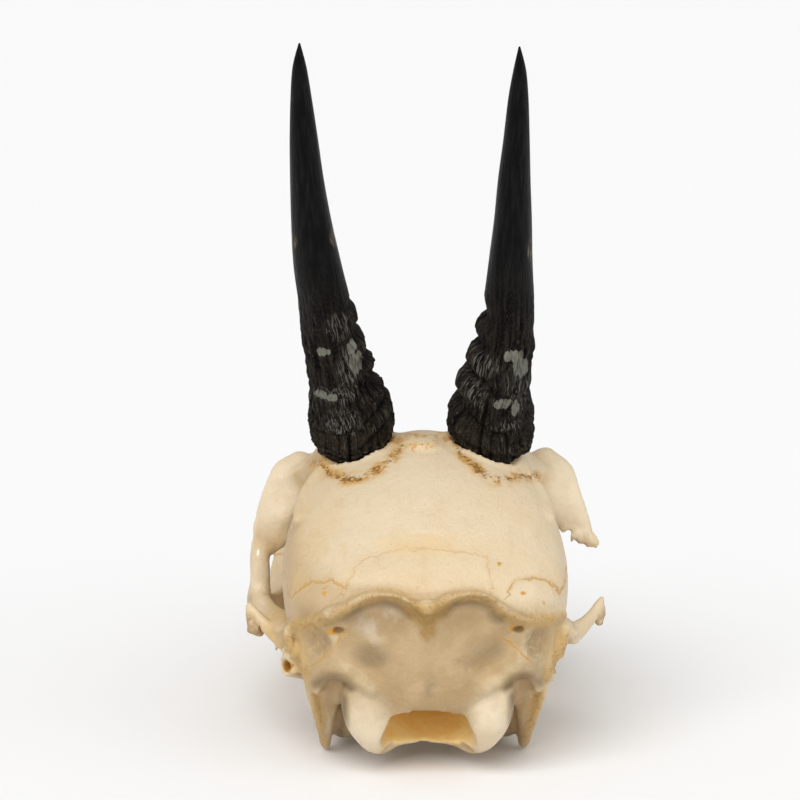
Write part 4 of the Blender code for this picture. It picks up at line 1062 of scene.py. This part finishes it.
class Shades:
    """The node tree of one material, and the colour that it has so far."""

    def __init__(self, name):
        self.made = bpy.data.materials.new(name)
        self.made.use_nodes = True
        self.tree = self.made.node_tree
        self.shader = self.tree.nodes["Principled BSDF"]
        self.colour = None

    def new(self, kind, inputs, out=0, **settings):
        """An output of a new node; its inputs are outputs of other nodes, or plain values."""
        made = self.tree.nodes.new("ShaderNode" + kind)
        for key, value in settings.items():
            setattr(made, key, value)
        for key, value in inputs.items():
            if isinstance(value, bpy.types.NodeSocket):
                self.tree.links.new(value, made.inputs[key])
            else:
                made.inputs[key].default_value = value
        return made.outputs[out]

    def mixed(self, factor, a, b):
        """A mix of two colours."""
        a, b = [(*value, 1.0) if isinstance(value, tuple) else value for value in (a, b)]
        return self.new("Mix", {0: factor, 6: a, 7: b}, 2, data_type="RGBA", clamp_factor=True)

    def over(self, factor, colour, amount=1.0):
        """Lays a colour over what is there."""
        if amount != 1.0:
            factor = self.times(factor, amount)
        self.colour = self.mixed(factor, self.colour, colour)

    def maths(self, operation, a, b=0.0, clamp=False):
        """A number from two others."""
        return self.new("Math", {0: a, 1: b}, operation=operation, use_clamp=clamp)

    def times(self, a, b, clamp=False):
        """The product of two numbers."""
        return self.maths("MULTIPLY", a, b, clamp)

    def total(self, *parts):
        """The sum of some numbers, each with its weight."""
        out = None
        for value, weight in parts:
            value = self.times(value, weight)
            out = self.maths("ADD", out, value) if out else value
        return out

    def ramp(self, value, low, high, to_low=0.0, to_high=1.0):
        """A smooth step of a value between low and high."""
        return self.new("MapRange", {"Value": value, "From Min": low, "From Max": high,
                                     "To Min": to_low, "To Max": to_high}, "Result",
                        interpolation_type="SMOOTHSTEP")

    def noise(self, scale, detail=4.0, rough=0.55, stretch=None, place=None):
        """Noise in object space, or at a place of its own; scale is in lumps per metre."""
        if place is None:
            place = self.new("TexCoord", {}, "Object")
        if stretch:
            place = self.new("Mapping", {"Scale": stretch, "Vector": place}, "Vector")
        return self.new("TexNoise", {"Scale": scale, "Detail": detail, "Roughness": rough,
                                     "Vector": place}, "Fac")

    def painted(self, name):
        """The number that the mesh keeps under that name."""
        return self.new("Attribute", {}, "Fac", attribute_name=name)

    def link(self, name, value):
        """Leads a value to an input of the shader."""
        self.tree.links.new(value, self.shader.inputs[name])

    def finish(self, rough, height, strength, distance):
        """The finished material, with its roughness and the relief of its surface."""
        normal = self.new("Bump", {"Strength": strength, "Distance": distance, "Height": height},
                          "Normal")
        self.link("Base Color", self.colour)
        self.link("Roughness", rough)
        self.link("Normal", normal)
        return self.made


def bone_material():
    """Old cleaned bone: cream and satin, tan in the hollows with dirt and painted shade, orange-brown
    along the seams, and a faint painted glow inside the brain case.
    """
    tree = Shades("bone")
    broad, middle, fine = tree.noise(45, 3), tree.noise(160, 5), tree.noise(900, 6, 0.65)
    streaks = tree.noise(300, 5, 0.6, (1.0, 0.28, 0.6))
    crumbs, clots = tree.noise(1500, 5, 0.75), tree.noise(330, 4, 0.6)
    tree.colour = tree.mixed(tree.ramp(broad, 0.36, 0.64), (0.68, 0.55, 0.365), (0.66, 0.50, 0.295))
    tree.over(tree.ramp(middle, 0.5, 0.72), (0.72, 0.60, 0.43), 0.35)
    tree.over(tree.ramp(streaks, 0.50, 0.68, 0.0, 0.42), (0.60, 0.42, 0.22))
    freckles = tree.total((tree.noise(1300, 3, 0.6), 0.6), (broad, 0.4))
    tree.over(tree.ramp(freckles, 0.60, 0.66, 0.0, 0.35), (0.56, 0.36, 0.16))
    # The rough rear; creases darkened, partly grime and partly painted shade; ridges given a painted
    # highlight; recesses tan, partly dirt and partly painted shade; and the lining of the brain case,
    # honey coloured with a faint painted glow.
    dull, crease_grime_shade_ridge_highlight, recess_dirt_and_shade = tree.painted("dull"), tree.painted("crease_grime_shade_ridge_highlight"), tree.painted("recess_dirt_and_shade")
    honey_and_glow, polish, grey = tree.painted("honey_and_glow"), tree.painted("polish"), tree.painted("grey")
    duller = tree.mixed(tree.ramp(middle, 0.38, 0.62), (0.425, 0.305, 0.150), (0.61, 0.465, 0.27))
    tree.over(dull, duller, 0.85)
    # Creases darker, partly grime and partly painted shade; ridges paler, a painted highlight.
    tree.over(tree.ramp(crease_grime_shade_ridge_highlight, -0.05, -0.7), (0.42, 0.27, 0.12), 0.55)
    tree.over(tree.ramp(crease_grime_shade_ridge_highlight, 0.1, 0.8), (0.76, 0.63, 0.44), 0.45)
    # Tan in deep recesses, partly dirt and partly painted shade.
    tree.over(recess_dirt_and_shade, (0.50, 0.33, 0.16), 0.5)
    tree.over(honey_and_glow, tree.mixed(tree.ramp(middle, 0.35, 0.65), (0.99, 0.77, 0.36), (0.94, 0.66, 0.24)))
    tree.over(polish, (0.70, 0.56, 0.37), 0.75)
    # Stains, painted shade and pale patches, each broken up by a noise; the pale ones on the eye bars are
    # painted light.
    for amount, texture, steps, colour in (
            (tree.painted("tan"), fine, (0.25, 0.7, 0.3, 0.9), (0.64, 0.43, 0.17)),
            (tree.painted("warm"), middle, (0.3, 0.7, 0.1, 0.5), (0.72, 0.50, 0.22)),
            # Paler patches, on the eye bars painted light.
            (tree.painted("pale"), middle, (0.3, 0.7, 0.5, 0.9), (0.80, 0.68, 0.49)),
            # Painted shade in the hollows of the rear.
            (tree.painted("painted_shade"), middle, (0.35, 0.6, 0.3, 0.9), (0.29, 0.20, 0.10)),
            (tree.painted("white"), middle, (0.38, 0.6, 0.0, 0.6), (0.68, 0.60, 0.48)),
            (grey, fine, (0.3, 0.6, 0.0, 1.0), (0.385, 0.265, 0.135))):
        tree.over(tree.times(amount, tree.ramp(texture, *steps)), colour)
    tree.over(tree.ramp(tree.painted("orange"), 0.1, 0.7), (0.56, 0.28, 0.045))
    # Painted shadow with some grime under the crest's bows and beside the condyles; rough and golden-brown
    # places along lines of the rear.
    shadow = tree.times(tree.painted("shadow"), tree.ramp(middle, 0.3, 0.6, 0.5625, 1.125), True)
    tree.over(shadow, (0.24, 0.155, 0.07))
    rugged, golden = tree.painted("rugged"), tree.painted("golden")
    dirt = tree.times(rugged, tree.ramp(fine, 0.35, 0.60, 0.8, 2.2), True)
    tree.over(dirt, (0.43, 0.25, 0.07), 0.9)
    dirt = tree.times(golden, tree.ramp(clots, 0.30, 0.60, 0.5, 1.8), True)
    tree.over(dirt, (0.60, 0.38, 0.13), 0.7)
    tree.over(tree.times(dirt, tree.ramp(crumbs, 0.52, 0.60, 0.0, 0.6)), (0.36, 0.19, 0.05))
    # Crusts, and the specks of the brow.
    around, brow = tree.painted("crust"), tree.painted("speckle")
    crusty = tree.ramp(tree.total((crumbs, 0.75), (around, 0.22), (clots, 0.25)), 0.66, 0.74)
    crusty = tree.times(crusty, tree.ramp(around, 0.0, 0.3))
    tree.over(tree.times(around, tree.ramp(clots, 0.36, 0.62, 0.15, 1.7), True), (0.60, 0.33, 0.08))
    tree.over(crusty, (0.20, 0.085, 0.02), 0.9)
    tree.over(tree.times(brow, tree.ramp(clots, 0.42, 0.60, 0.1, 0.8)), (0.64, 0.40, 0.14))
    specks = tree.total((tree.noise(1000, 4, 0.7), 0.5), (clots, 0.5))
    specks = tree.times(tree.ramp(specks, 0.52, 0.57), tree.ramp(brow, 0.05, 0.5))
    tree.over(specks, (0.46, 0.20, 0.05), 0.65)
    # Seams: thin wandering lines in a paler band.
    plain = tree.painted("plain")
    wander = tree.times(tree.maths("SUBTRACT", tree.noise(480, 2), 0.5), 2.0)
    seam = tree.maths("ABSOLUTE", tree.maths("ADD", tree.painted("seam"), wander))
    line = tree.times(tree.times(tree.ramp(seam, 0.30, 0.08), plain),
                      tree.ramp(tree.noise(130, 2), 0.30, 0.46, 0.25, 1.0))
    tree.over(line, (0.56, 0.30, 0.06), 0.8)
    tree.over(tree.times(tree.ramp(seam, 1.3, 0.2, 0.0, 0.30), plain), (0.60, 0.38, 0.15))
    glue = tree.ramp(tree.painted("glue"), 0.2, 0.6)
    tree.over(glue, (0.92, 0.90, 0.86))
    pores = tree.ramp(tree.noise(2600, 2), 0.66, 0.74)
    tree.over(pores, (0.45, 0.28, 0.13), 0.35)
    # A faint painted glow in the honey colour, inside the brain case and the neck canal.
    tree.link("Emission Color", tree.mixed(honey_and_glow, (0.0, 0.0, 0.0), (0.95, 0.57, 0.13)))
    tree.shader.inputs["Emission Strength"].default_value = 0.055
    tree.shader.inputs["IOR"].default_value = 1.5
    rough = tree.total((tree.ramp(fine, 0.2, 0.8, 0.34, 0.52), 1.0), (grey, 0.2), (recess_dirt_and_shade, 0.2),
                       (polish, -0.14), (glue, -0.14))
    height = tree.total((fine, 0.45), (middle, 0.7), (streaks, 0.7), (tree.times(dull, crumbs), 0.9),
                        (pores, -0.25), (line, -0.6), (crusty, 0.5),
                        (tree.times(tree.maths("ADD", rugged, golden), crumbs), 2.0))
    return tree.finish(rough, height, 0.55, 0.0007)


def horn_material():
    """Dark fibrous horn: glossy towards the tip, brown and flaky at the base."""
    tree = Shades("horn")
    textures = []
    for across, up, detail, rough in ((1.5, 0.12, 5, 0.62), (3.6, 0.35, 4, 0.6), (2.6, 1.7, 4, 0.65)):
        place = tree.new("CombineXYZ", {0: tree.times(tree.painted("hx"), across),
                                        1: tree.times(tree.painted("hy"), across),
                                        2: tree.times(tree.painted("hz"), up)})
        textures.append(tree.noise(1.0, detail, rough, place=place))
    fibres, threads, grain = textures
    base, raised, marked = tree.painted("base"), tree.painted("raised"), tree.painted("scar")
    tree.colour = tree.mixed(tree.ramp(fibres, 0.40, 0.75), (0.0020, 0.0020, 0.0024),
                             (0.010, 0.0095, 0.009))
    low = tree.mixed(tree.ramp(fibres, 0.40, 0.62), (0.0030, 0.0026, 0.0026), (0.025, 0.020, 0.0155))
    low = tree.mixed(tree.times(tree.ramp(grain, 0.52, 0.66), 0.8), low, (0.058, 0.043, 0.028))
    tree.over(base, low)
    tree.over(tree.times(tree.painted("collar"), tree.ramp(grain, 0.42, 0.64)), (0.060, 0.043, 0.026))
    worn = tree.times(tree.ramp(raised, 0.04, 0.30), tree.times(base, tree.ramp(threads, 0.5, 0.62)))
    tree.over(worn, (0.16, 0.14, 0.11), 0.55)
    tree.over(tree.times(tree.ramp(raised, -0.05, -0.30), base), (0.0025, 0.002, 0.002), 0.8)
    pale = tree.times(tree.times(base, tree.ramp(tree.noise(150, 3), 0.56, 0.70)),
                      tree.ramp(threads, 0.52, 0.62), True)
    tree.over(pale, (0.15, 0.15, 0.13), 0.45)
    streak = tree.times(tree.painted("streak"), tree.ramp(threads, 0.50, 0.60), True)
    tree.over(streak, (0.22, 0.22, 0.19), 0.6)
    edge = tree.maths("ADD", marked, tree.times(tree.maths("SUBTRACT", fibres, 0.5), 3.2))
    edge = tree.times(edge, tree.ramp(marked, 0.0, 0.12))
    scar = tree.times(tree.ramp(edge, 0.30, 0.55), tree.ramp(threads, 0.34, 0.52, 0.35, 1.0))
    tree.over(scar, (0.26, 0.262, 0.215), 0.9)
    tree.over(tree.times(tree.painted("tuft"), tree.ramp(threads, 0.48, 0.6)), (0.14, 0.11, 0.07))
    tree.shader.inputs["Specular IOR Level"].default_value = 0.07
    rough = tree.total((tree.ramp(fibres, 0.2, 0.8, 0.32, 0.50), 1.0), (base, 0.25))
    strong = tree.maths("ADD", tree.times(base, 1.5), 0.2)
    height = tree.total((tree.times(tree.total((fibres, 1.0), (threads, 0.5)), strong), 1.0),
                        (tree.times(grain, base), 0.9))
    return tree.finish(rough, height, 0.9, 0.0009)


def tooth_material():
    """Enamel ridges over brown dentine, with dark hollows and a stained neck."""
    tree = Shades("tooth")
    fine = tree.noise(900, 5, 0.6)
    tree.colour = tree.mixed(tree.ramp(fine, 0.3, 0.7), (0.80, 0.72, 0.55), (0.72, 0.60, 0.41))
    tree.over(tree.painted("dentine"), (0.42, 0.26, 0.12), 0.85)
    tree.over(tree.painted("pit"), (0.06, 0.035, 0.02))
    tree.over(tree.times(tree.painted("neck"), tree.ramp(fine, 0.3, 0.6)), (0.34, 0.19, 0.08), 0.7)
    return tree.finish(tree.ramp(fine, 0.2, 0.8, 0.22, 0.40), fine, 0.25, 0.0003)


def band_quads(first, rows, n):
    """Quads between closed rings of n points each, from the point number first on."""
    ring = np.arange(n)
    after = (ring + 1) % n
    return [first + np.stack([j * n + ring, j * n + after, (j + 1) * n + after, (j + 1) * n + ring], 1)
            for j in range(rows - 1)]


def fan(first, n, tip):
    """Triangles between one ring and its tip."""
    ring = np.arange(n)
    return np.stack([first + ring, first + (ring + 1) % n, np.full(n, tip)], 1)


def line_noise(u, v, cell_u, cell_v, seed):
    """Smooth noise on a grid of angle and height; it closes around the horn."""
    rng = np.random.default_rng(seed)
    nu = max(3, int(round(HORN_GIRTH / cell_u)))
    top = int(v.max() / cell_v) + 3
    table = rng.uniform(-1, 1, (nu, top))
    pu = (u * nu)[:, None]
    pv = (v / cell_v)[None, :]
    iu, iv = np.floor(pu).astype(int), np.floor(pv).astype(int)
    tu, tv = pu - iu, pv - iv
    tu, tv = tu * tu * (3 - 2 * tu), tv * tv * (3 - 2 * tv)
    a = table[iu % nu, iv] * (1 - tu) + table[(iu + 1) % nu, iv] * tu
    b = table[iu % nu, iv + 1] * (1 - tu) + table[(iu + 1) % nu, iv + 1] * tu
    return a * (1 - tv) + b * tv


def stepped(value):
    """A saw of soft steps: it climbs slowly and falls back fast."""
    part = value - np.floor(value)
    return np.where(part < 0.8, part / 0.8, (1 - part) / 0.2)


def horn_relief(side, share, level, height, depth):
    """How far the horn's skin stands out: rings, knobs, fibres, cracks and the layers of the rim."""
    c = np.cos(2 * math.pi * share)[:, None]
    seed = HORN_SEEDS[side]
    wave = line_noise(share, level, 5.0, 6.0, seed)
    inwards = np.maximum(0, -side * c)
    knobs = np.zeros_like(height)
    for place, half, amount in HORN_KNOBS[side]:
        off = (height - place - 0.3 * wave) / half
        knobs = np.maximum(knobs, amount * np.exp(-np.abs(off) ** 3.2))
    lean = inwards ** 2.2 * (0.85 + 0.3 * line_noise(share, level, 3.0, 3.0, seed + 9))
    dip = np.clip((93 - height) / 3, 0, 1) * np.clip((height - 69) / 2, 0, 1)
    swell = knobs * lean - 0.85 * (inwards ** 2.2) * dip
    for middle, reach, amount, slant in HORN_RINGS[side]:
        off = (height - middle + slant * side * c * 7 - wave * 0.9) / reach
        swell = swell + amount * (np.exp(-off * off) - 0.7 * np.exp(-((off + 1.1) / 0.45) ** 2))
    rough = np.clip((97 - height) / 14, 0, 1)
    fibres = line_noise(share, level, 0.62, 8.0, seed + 1) * 0.55
    fibres = fibres + line_noise(share, level, 0.36, 4.0, seed + 2) * 0.35
    lumps = line_noise(share, level, 2.6, 2.4, seed + 3)
    flakes = line_noise(share, level, 1.3, 1.2, seed + 6)
    cracks = np.maximum(0, line_noise(share, level, 0.8, 9.0, seed + 4) - 0.30)
    swell = swell + rough * (fibres * 0.36 + lumps * 0.26 + flakes * 0.16 - cracks * 1.05)
    swell = swell + 0.03 * fibres * np.clip((146 - height) / 10, 0, 1)
    near_rim = np.clip(1 - depth / 5.0, 0, 1)
    layers = stepped(depth / 1.35 + 0.35 * wave + 0.25 * lumps)
    swell = swell + near_rim * (0.95 * layers - 0.55) + 0.2 * near_rim * flakes
    return swell - 1.1 * np.exp(-(depth / 1.1) ** 2)


def build_horn(side):
    """One horn sheath: ringed and fibrous outside, hollow below."""
    table = blend_rows(sided(HORN_PATHS[side], side), HORN_STEPS)
    first = table[0].copy()
    downwards = table[0, :3] - table[8, :3]
    first[:3] += downwards / np.linalg.norm(downwards) * BELOW_BASE
    table = np.vstack([first, table])
    length = np.concatenate([[0], np.cumsum(np.linalg.norm(np.diff(table[:, :3], axis=0), axis=1))])
    fine = np.linspace(0, length[-1], 900)
    values = np.stack([np.interp(fine, length, column) for column in table.T], 1)
    tangent = np.gradient(values[:, :3], axis=0)
    tangent /= np.linalg.norm(tangent, axis=1)[:, None]
    u = np.array(ACROSS) - tangent * tangent[:, :1]
    u /= np.linalg.norm(u, axis=1)[:, None]
    v = np.cross(tangent, u)
    n = HORN_AROUND
    share = np.arange(n) / n
    c, s = np.cos(2 * math.pi * share)[:, None], np.sin(2 * math.pi * share)[:, None]

    def at(columns, along):
        return np.stack([np.interp(along, fine, column) for column in columns.T], -1)

    def skin(along, swell):
        across, deep = np.moveaxis(at(values[:, 3:5], along) + swell[..., None], -1, 0)
        across, deep = np.maximum(across, 0.05) * c, np.maximum(deep, 0.05) * s
        return (at(values[:, :3], along) + across[..., None] * at(u, along)
                + deep[..., None] * at(v, along))

    start = np.full(n, 6.0 + BELOW_BASE)
    for _ in range(6):
        point = skin(start[:, None], np.zeros((n, 1)))[:, 0]
        away = ((point - rim_centre(side)) @ RIM_UP) / (at(tangent, start) @ RIM_UP)
        start = np.clip(start - away, 0, HIGHEST_START)
    seed = HORN_SEEDS[side]
    level = np.array([0.0, 1.0])
    ragged = line_noise(share, level, 1.8, 30.0, seed + 5)[:, 0]
    ragged = ragged + 0.6 * line_noise(share, level, 0.8, 30.0, seed + 7)[:, 0]
    start = np.clip(start + ragged * 0.45, 0.2, HIGHEST_START)
    flake = np.zeros(n)
    if side == RIGHT:
        place, half, tall = FLAKE
        flake = np.clip((half - np.abs(360 * share - place) + 2 * ragged) / 2.5, 0, 1)
        start = np.maximum(start - flake * (tall + 0.5 * ragged), 0.1)
    start, flake = start[:, None], flake[:, None]
    share_up = np.linspace(0, 1, HORN_ALONG) ** 1.35
    along = start + (length[-1] - start) * share_up
    depth = along - start
    radius = at(values[:, 3:4], along)[..., 0]
    swell = horn_relief(side, share, share_up * length[-1], at(values[:, 2:3], along)[..., 0], depth)
    hang = flake * np.clip(1 - depth / 4.6, 0, 1)
    swell = swell * np.clip(radius / 2.0, 0, 1) + hang * 1.1
    swell = swell + flake * 0.9 * np.exp(-(depth / 1.1) ** 2)
    outer = skin(along, swell)
    inner_depth = np.linspace(0, HOLLOW_DEPTH, WALL_ROWS)[None, :]
    wall = SHEATH_WALL * (0.45 + 0.55 * np.clip(inner_depth / 5, 0, 1))
    inner = skin(start + inner_depth, hang[:, :1] * 0.8 - wall)
    points = np.concatenate([outer.transpose(1, 0, 2).reshape(-1, 3),
                             inner.transpose(1, 0, 2).reshape(-1, 3),
                             outer[:, -1].mean(0)[None] + tangent[-1:] * 0.2,
                             inner[:, -1].mean(0)[None]])
    low = HORN_ALONG * n
    tip = len(points) - 2
    edge = fan(0, n, 0)
    rim = np.stack([low + edge[:, 0], low + edge[:, 1], edge[:, 1], edge[:, 0]], 1)
    quads = band_quads(0, HORN_ALONG, n) + [band[:, ::-1] for band in band_quads(low, WALL_ROWS, n)]
    obj = mesh_object(WORDS[side] + "_horn", points,
                      quads + [rim, fan(low - n, n, tip), fan(tip - n, n, tip + 1)[:, ::-1]])

    def outside(name, numbers, rest=0.0):
        paint(obj, name, np.concatenate([numbers.T.reshape(-1), np.full(n * WALL_ROWS + 2, rest)]))

    place = table_points(obj)
    paint(obj, "base", np.clip((101 - place[:, 2]) / 20, 0, 1))
    outside("hx", c * radius)
    outside("hy", s * radius)
    outside("hz", along)
    outside("raised", swell - blurred_rows(swell, 5))
    outside("collar", np.clip(1 - depth / 9.0, 0, 1), 1.0)
    back = np.clip(0.35 - of_points(obj, "normal")[:, 1] * 1.2, 0, 1)
    for kind in ("scar", "streak", "tuft"):
        out = np.zeros(len(place))
        for name, x, z, wide, tall in HORN_MARKS[side]:
            if name == kind:
                far = ((place[:, 0] - x) / wide) ** 2 + ((place[:, 2] - z) / tall) ** 2
                out = np.maximum(out, np.clip(1.3 - far, 0, 1))
        paint(obj, kind, out if kind == "tuft" else out * back)
    return obj


def blurred_rows(values, reach):
    """The values of a closed band evened out around and along."""
    size = 2 * reach + 1
    out = sum(np.roll(values, shift, 0) for shift in range(-reach, reach + 1)) / size
    padded = np.pad(out, ((0, 0), (reach, reach)), mode="edge")
    return sum(padded[:, shift:shift + values.shape[1]] for shift in range(size)) / size


def build_tooth(name, side, x, y, half, length):
    """One worn cheek tooth with ribbed sides and crescent-shaped hollows in its crown."""
    molar = name.startswith("molar")
    n = TOOTH_AROUND
    angle = 2 * np.pi * np.arange(n) / n
    c, s = np.cos(angle), np.sin(angle)
    ox = np.sign(c) * np.abs(c) ** TOOTH_SQUARENESS
    oy = np.sign(s) * np.abs(s) ** TOOTH_SQUARENESS
    outer = np.clip(c, 0, 1)
    if molar:
        ribs = 0.12 * np.cos(4 * np.pi * oy) * outer - 0.02 * outer
        ribs = ribs - 0.22 * np.exp(-(oy / 0.22) ** 2) * np.clip(-c, 0, 1)
    else:
        ribs = 0.10 * np.cos(2 * np.pi * oy) * outer
    ox = ox * (1 + ribs)
    rings, marks = [], []
    for z, scale in TOOTH_LEVELS:
        rings.append((ox * half * scale, oy * length * scale, z))
        marks.append((0, 0, np.clip((z - 3.4) / 3.0, 0, 1)))
    middles, stretch = ((-0.5, 0.5), 0.30) if molar else ((0.0,), 0.46)
    for k in range(1, TOOTH_RINGS):
        scale = 0.96 * (1 - k / TOOTH_RINGS)
        px, py = ox * scale, oy * scale
        pit = band = 0
        for middle in middles:
            arc = px + 0.05 - 0.55 * ((py - middle) / (stretch * 1.6)) ** 2 * 0.5
            inside = np.clip(1.15 - np.abs(py - middle) / stretch, 0, 1)
            pit = np.maximum(pit, np.exp(-(arc / 0.10) ** 2) * np.clip(inside * 2.2, 0, 1))
            line = np.exp(-((np.abs(arc) - 0.20) / 0.07) ** 2)
            band = np.maximum(band, line * np.clip(inside * 2, 0, 1))
        enamel = np.maximum(np.clip((scale - 0.80) / 0.12, 0, 1), band)
        rings.append((px * half, py * length, 0.55 - 0.50 * enamel + 1.4 * pit))
        marks.append((np.clip(1 - enamel, 0, 1) * (1 - pit), pit, 0))
    count = len(rings)
    rings, marks = [np.concatenate([np.stack(np.broadcast_arrays(np.zeros(n), *row)[1:], 1)
                                    for row in rows]) for rows in (rings, marks)]
    points = np.concatenate([rings, [[0, 0, 11.0], [0, 0, 0.6]]])
    marks = np.concatenate([marks, [[0, 0, 1.0], [1.0, 0, 0]]])
    points[:, 0] = side * (x + points[:, 0])
    points[:, 1] += y
    obj = mesh_object(WORDS[side] + "_" + name + "_crown", points,
                      band_quads(0, count, n) + [fan(0, n, count * n),
                                                 fan((count - 1) * n, n, count * n + 1)])
    for column, kind in enumerate(("dentine", "pit", "neck")):
        paint(obj, kind, marks[:, column])
    return obj


def add_sun(name, direction, power, wide):
    """A soft distant lamp that shines from a direction and is some degrees wide."""
    data = bpy.data.lights.new(name, "SUN")
    data.energy = power
    data.angle = math.radians(wide)
    obj = bpy.data.objects.new(name, data)
    obj.rotation_euler = Vector(direction).to_track_quat("Z", "Y").to_euler()
    bpy.context.scene.collection.objects.link(obj)


def add_stage():
    """A pale floor, soft lamps and a pale world."""
    mesh = bpy.data.meshes.new("floor")
    mesh.from_pydata([(-3, -3, 0), (3, -3, 0), (3, 3, 0), (-3, 3, 0)], [], [(0, 1, 2, 3)])
    floor = bpy.data.objects.new("floor", mesh)
    floor.location.z = -0.0002
    bpy.context.scene.collection.objects.link(floor)
    tree = Shades("floor")
    tree.link("Base Color", tree.mixed(tree.noise(30, 2), (0.95, 0.95, 0.95), (0.96, 0.96, 0.96)))
    tree.shader.inputs["Roughness"].default_value = 0.9
    mesh.materials.append(tree.made)
    world = bpy.data.worlds.new("studio")
    world.use_nodes = True
    back = world.node_tree.nodes["Background"]
    back.inputs["Color"].default_value = (1.0, 1.0, 1.0, 1.0)
    back.inputs["Strength"].default_value = 0.455
    bpy.context.scene.world = world
    add_sun("key", (-0.30, -0.62, 0.72), 1.95, 50)
    add_sun("fill", (0.55, -0.70, 0.45), 0.8, 80)
    bpy.context.scene.view_settings.view_transform = "Standard"


def add_camera():
    """The camera at the photograph's viewing angle."""
    data = bpy.data.cameras.new("camera")
    data.sensor_width = 36.0
    data.lens = CAMERA_LENS
    data.clip_start = 0.01
    data.clip_end = 20.0
    obj = bpy.data.objects.new("camera", data)
    forward = Vector((-math.sin(CAMERA_YAW) * math.cos(CAMERA_DIP),
                      math.cos(CAMERA_YAW) * math.cos(CAMERA_DIP), -math.sin(CAMERA_DIP)))
    side = forward.cross(Vector((0, 0, 1))).normalized()
    up = side.cross(forward)
    turn = Matrix((side, up, -forward)).transposed().to_4x4()
    place = Vector([(CAMERA_PLACE[i] + SHIFT[i]) * MM for i in range(3)])
    obj.matrix_world = Matrix.Translation(place) @ turn
    bpy.context.scene.collection.objects.link(obj)
    bpy.context.scene.camera = obj


def main():
    """The whole scene."""
    add_camera()
    add_stage()
    bone, horn, tooth = bone_material(), horn_material(), tooth_material()
    skull = build_skull()
    skull.data.materials.append(bone)
    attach(skull, "root")
    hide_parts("skull")
    for side in (LEFT, RIGHT):
        word = WORDS[side]
        sheath = build_horn(side)
        sheath.data.materials.append(horn)
        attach(sheath, "root")
        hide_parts(word + "_horn_sheath")
        for name, x, y, half, length in TEETH:
            crown = build_tooth(name, side, x, y, half, length)
            crown.data.materials.append(tooth)
            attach(crown, "root")
            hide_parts(word + "_" + name)


main()
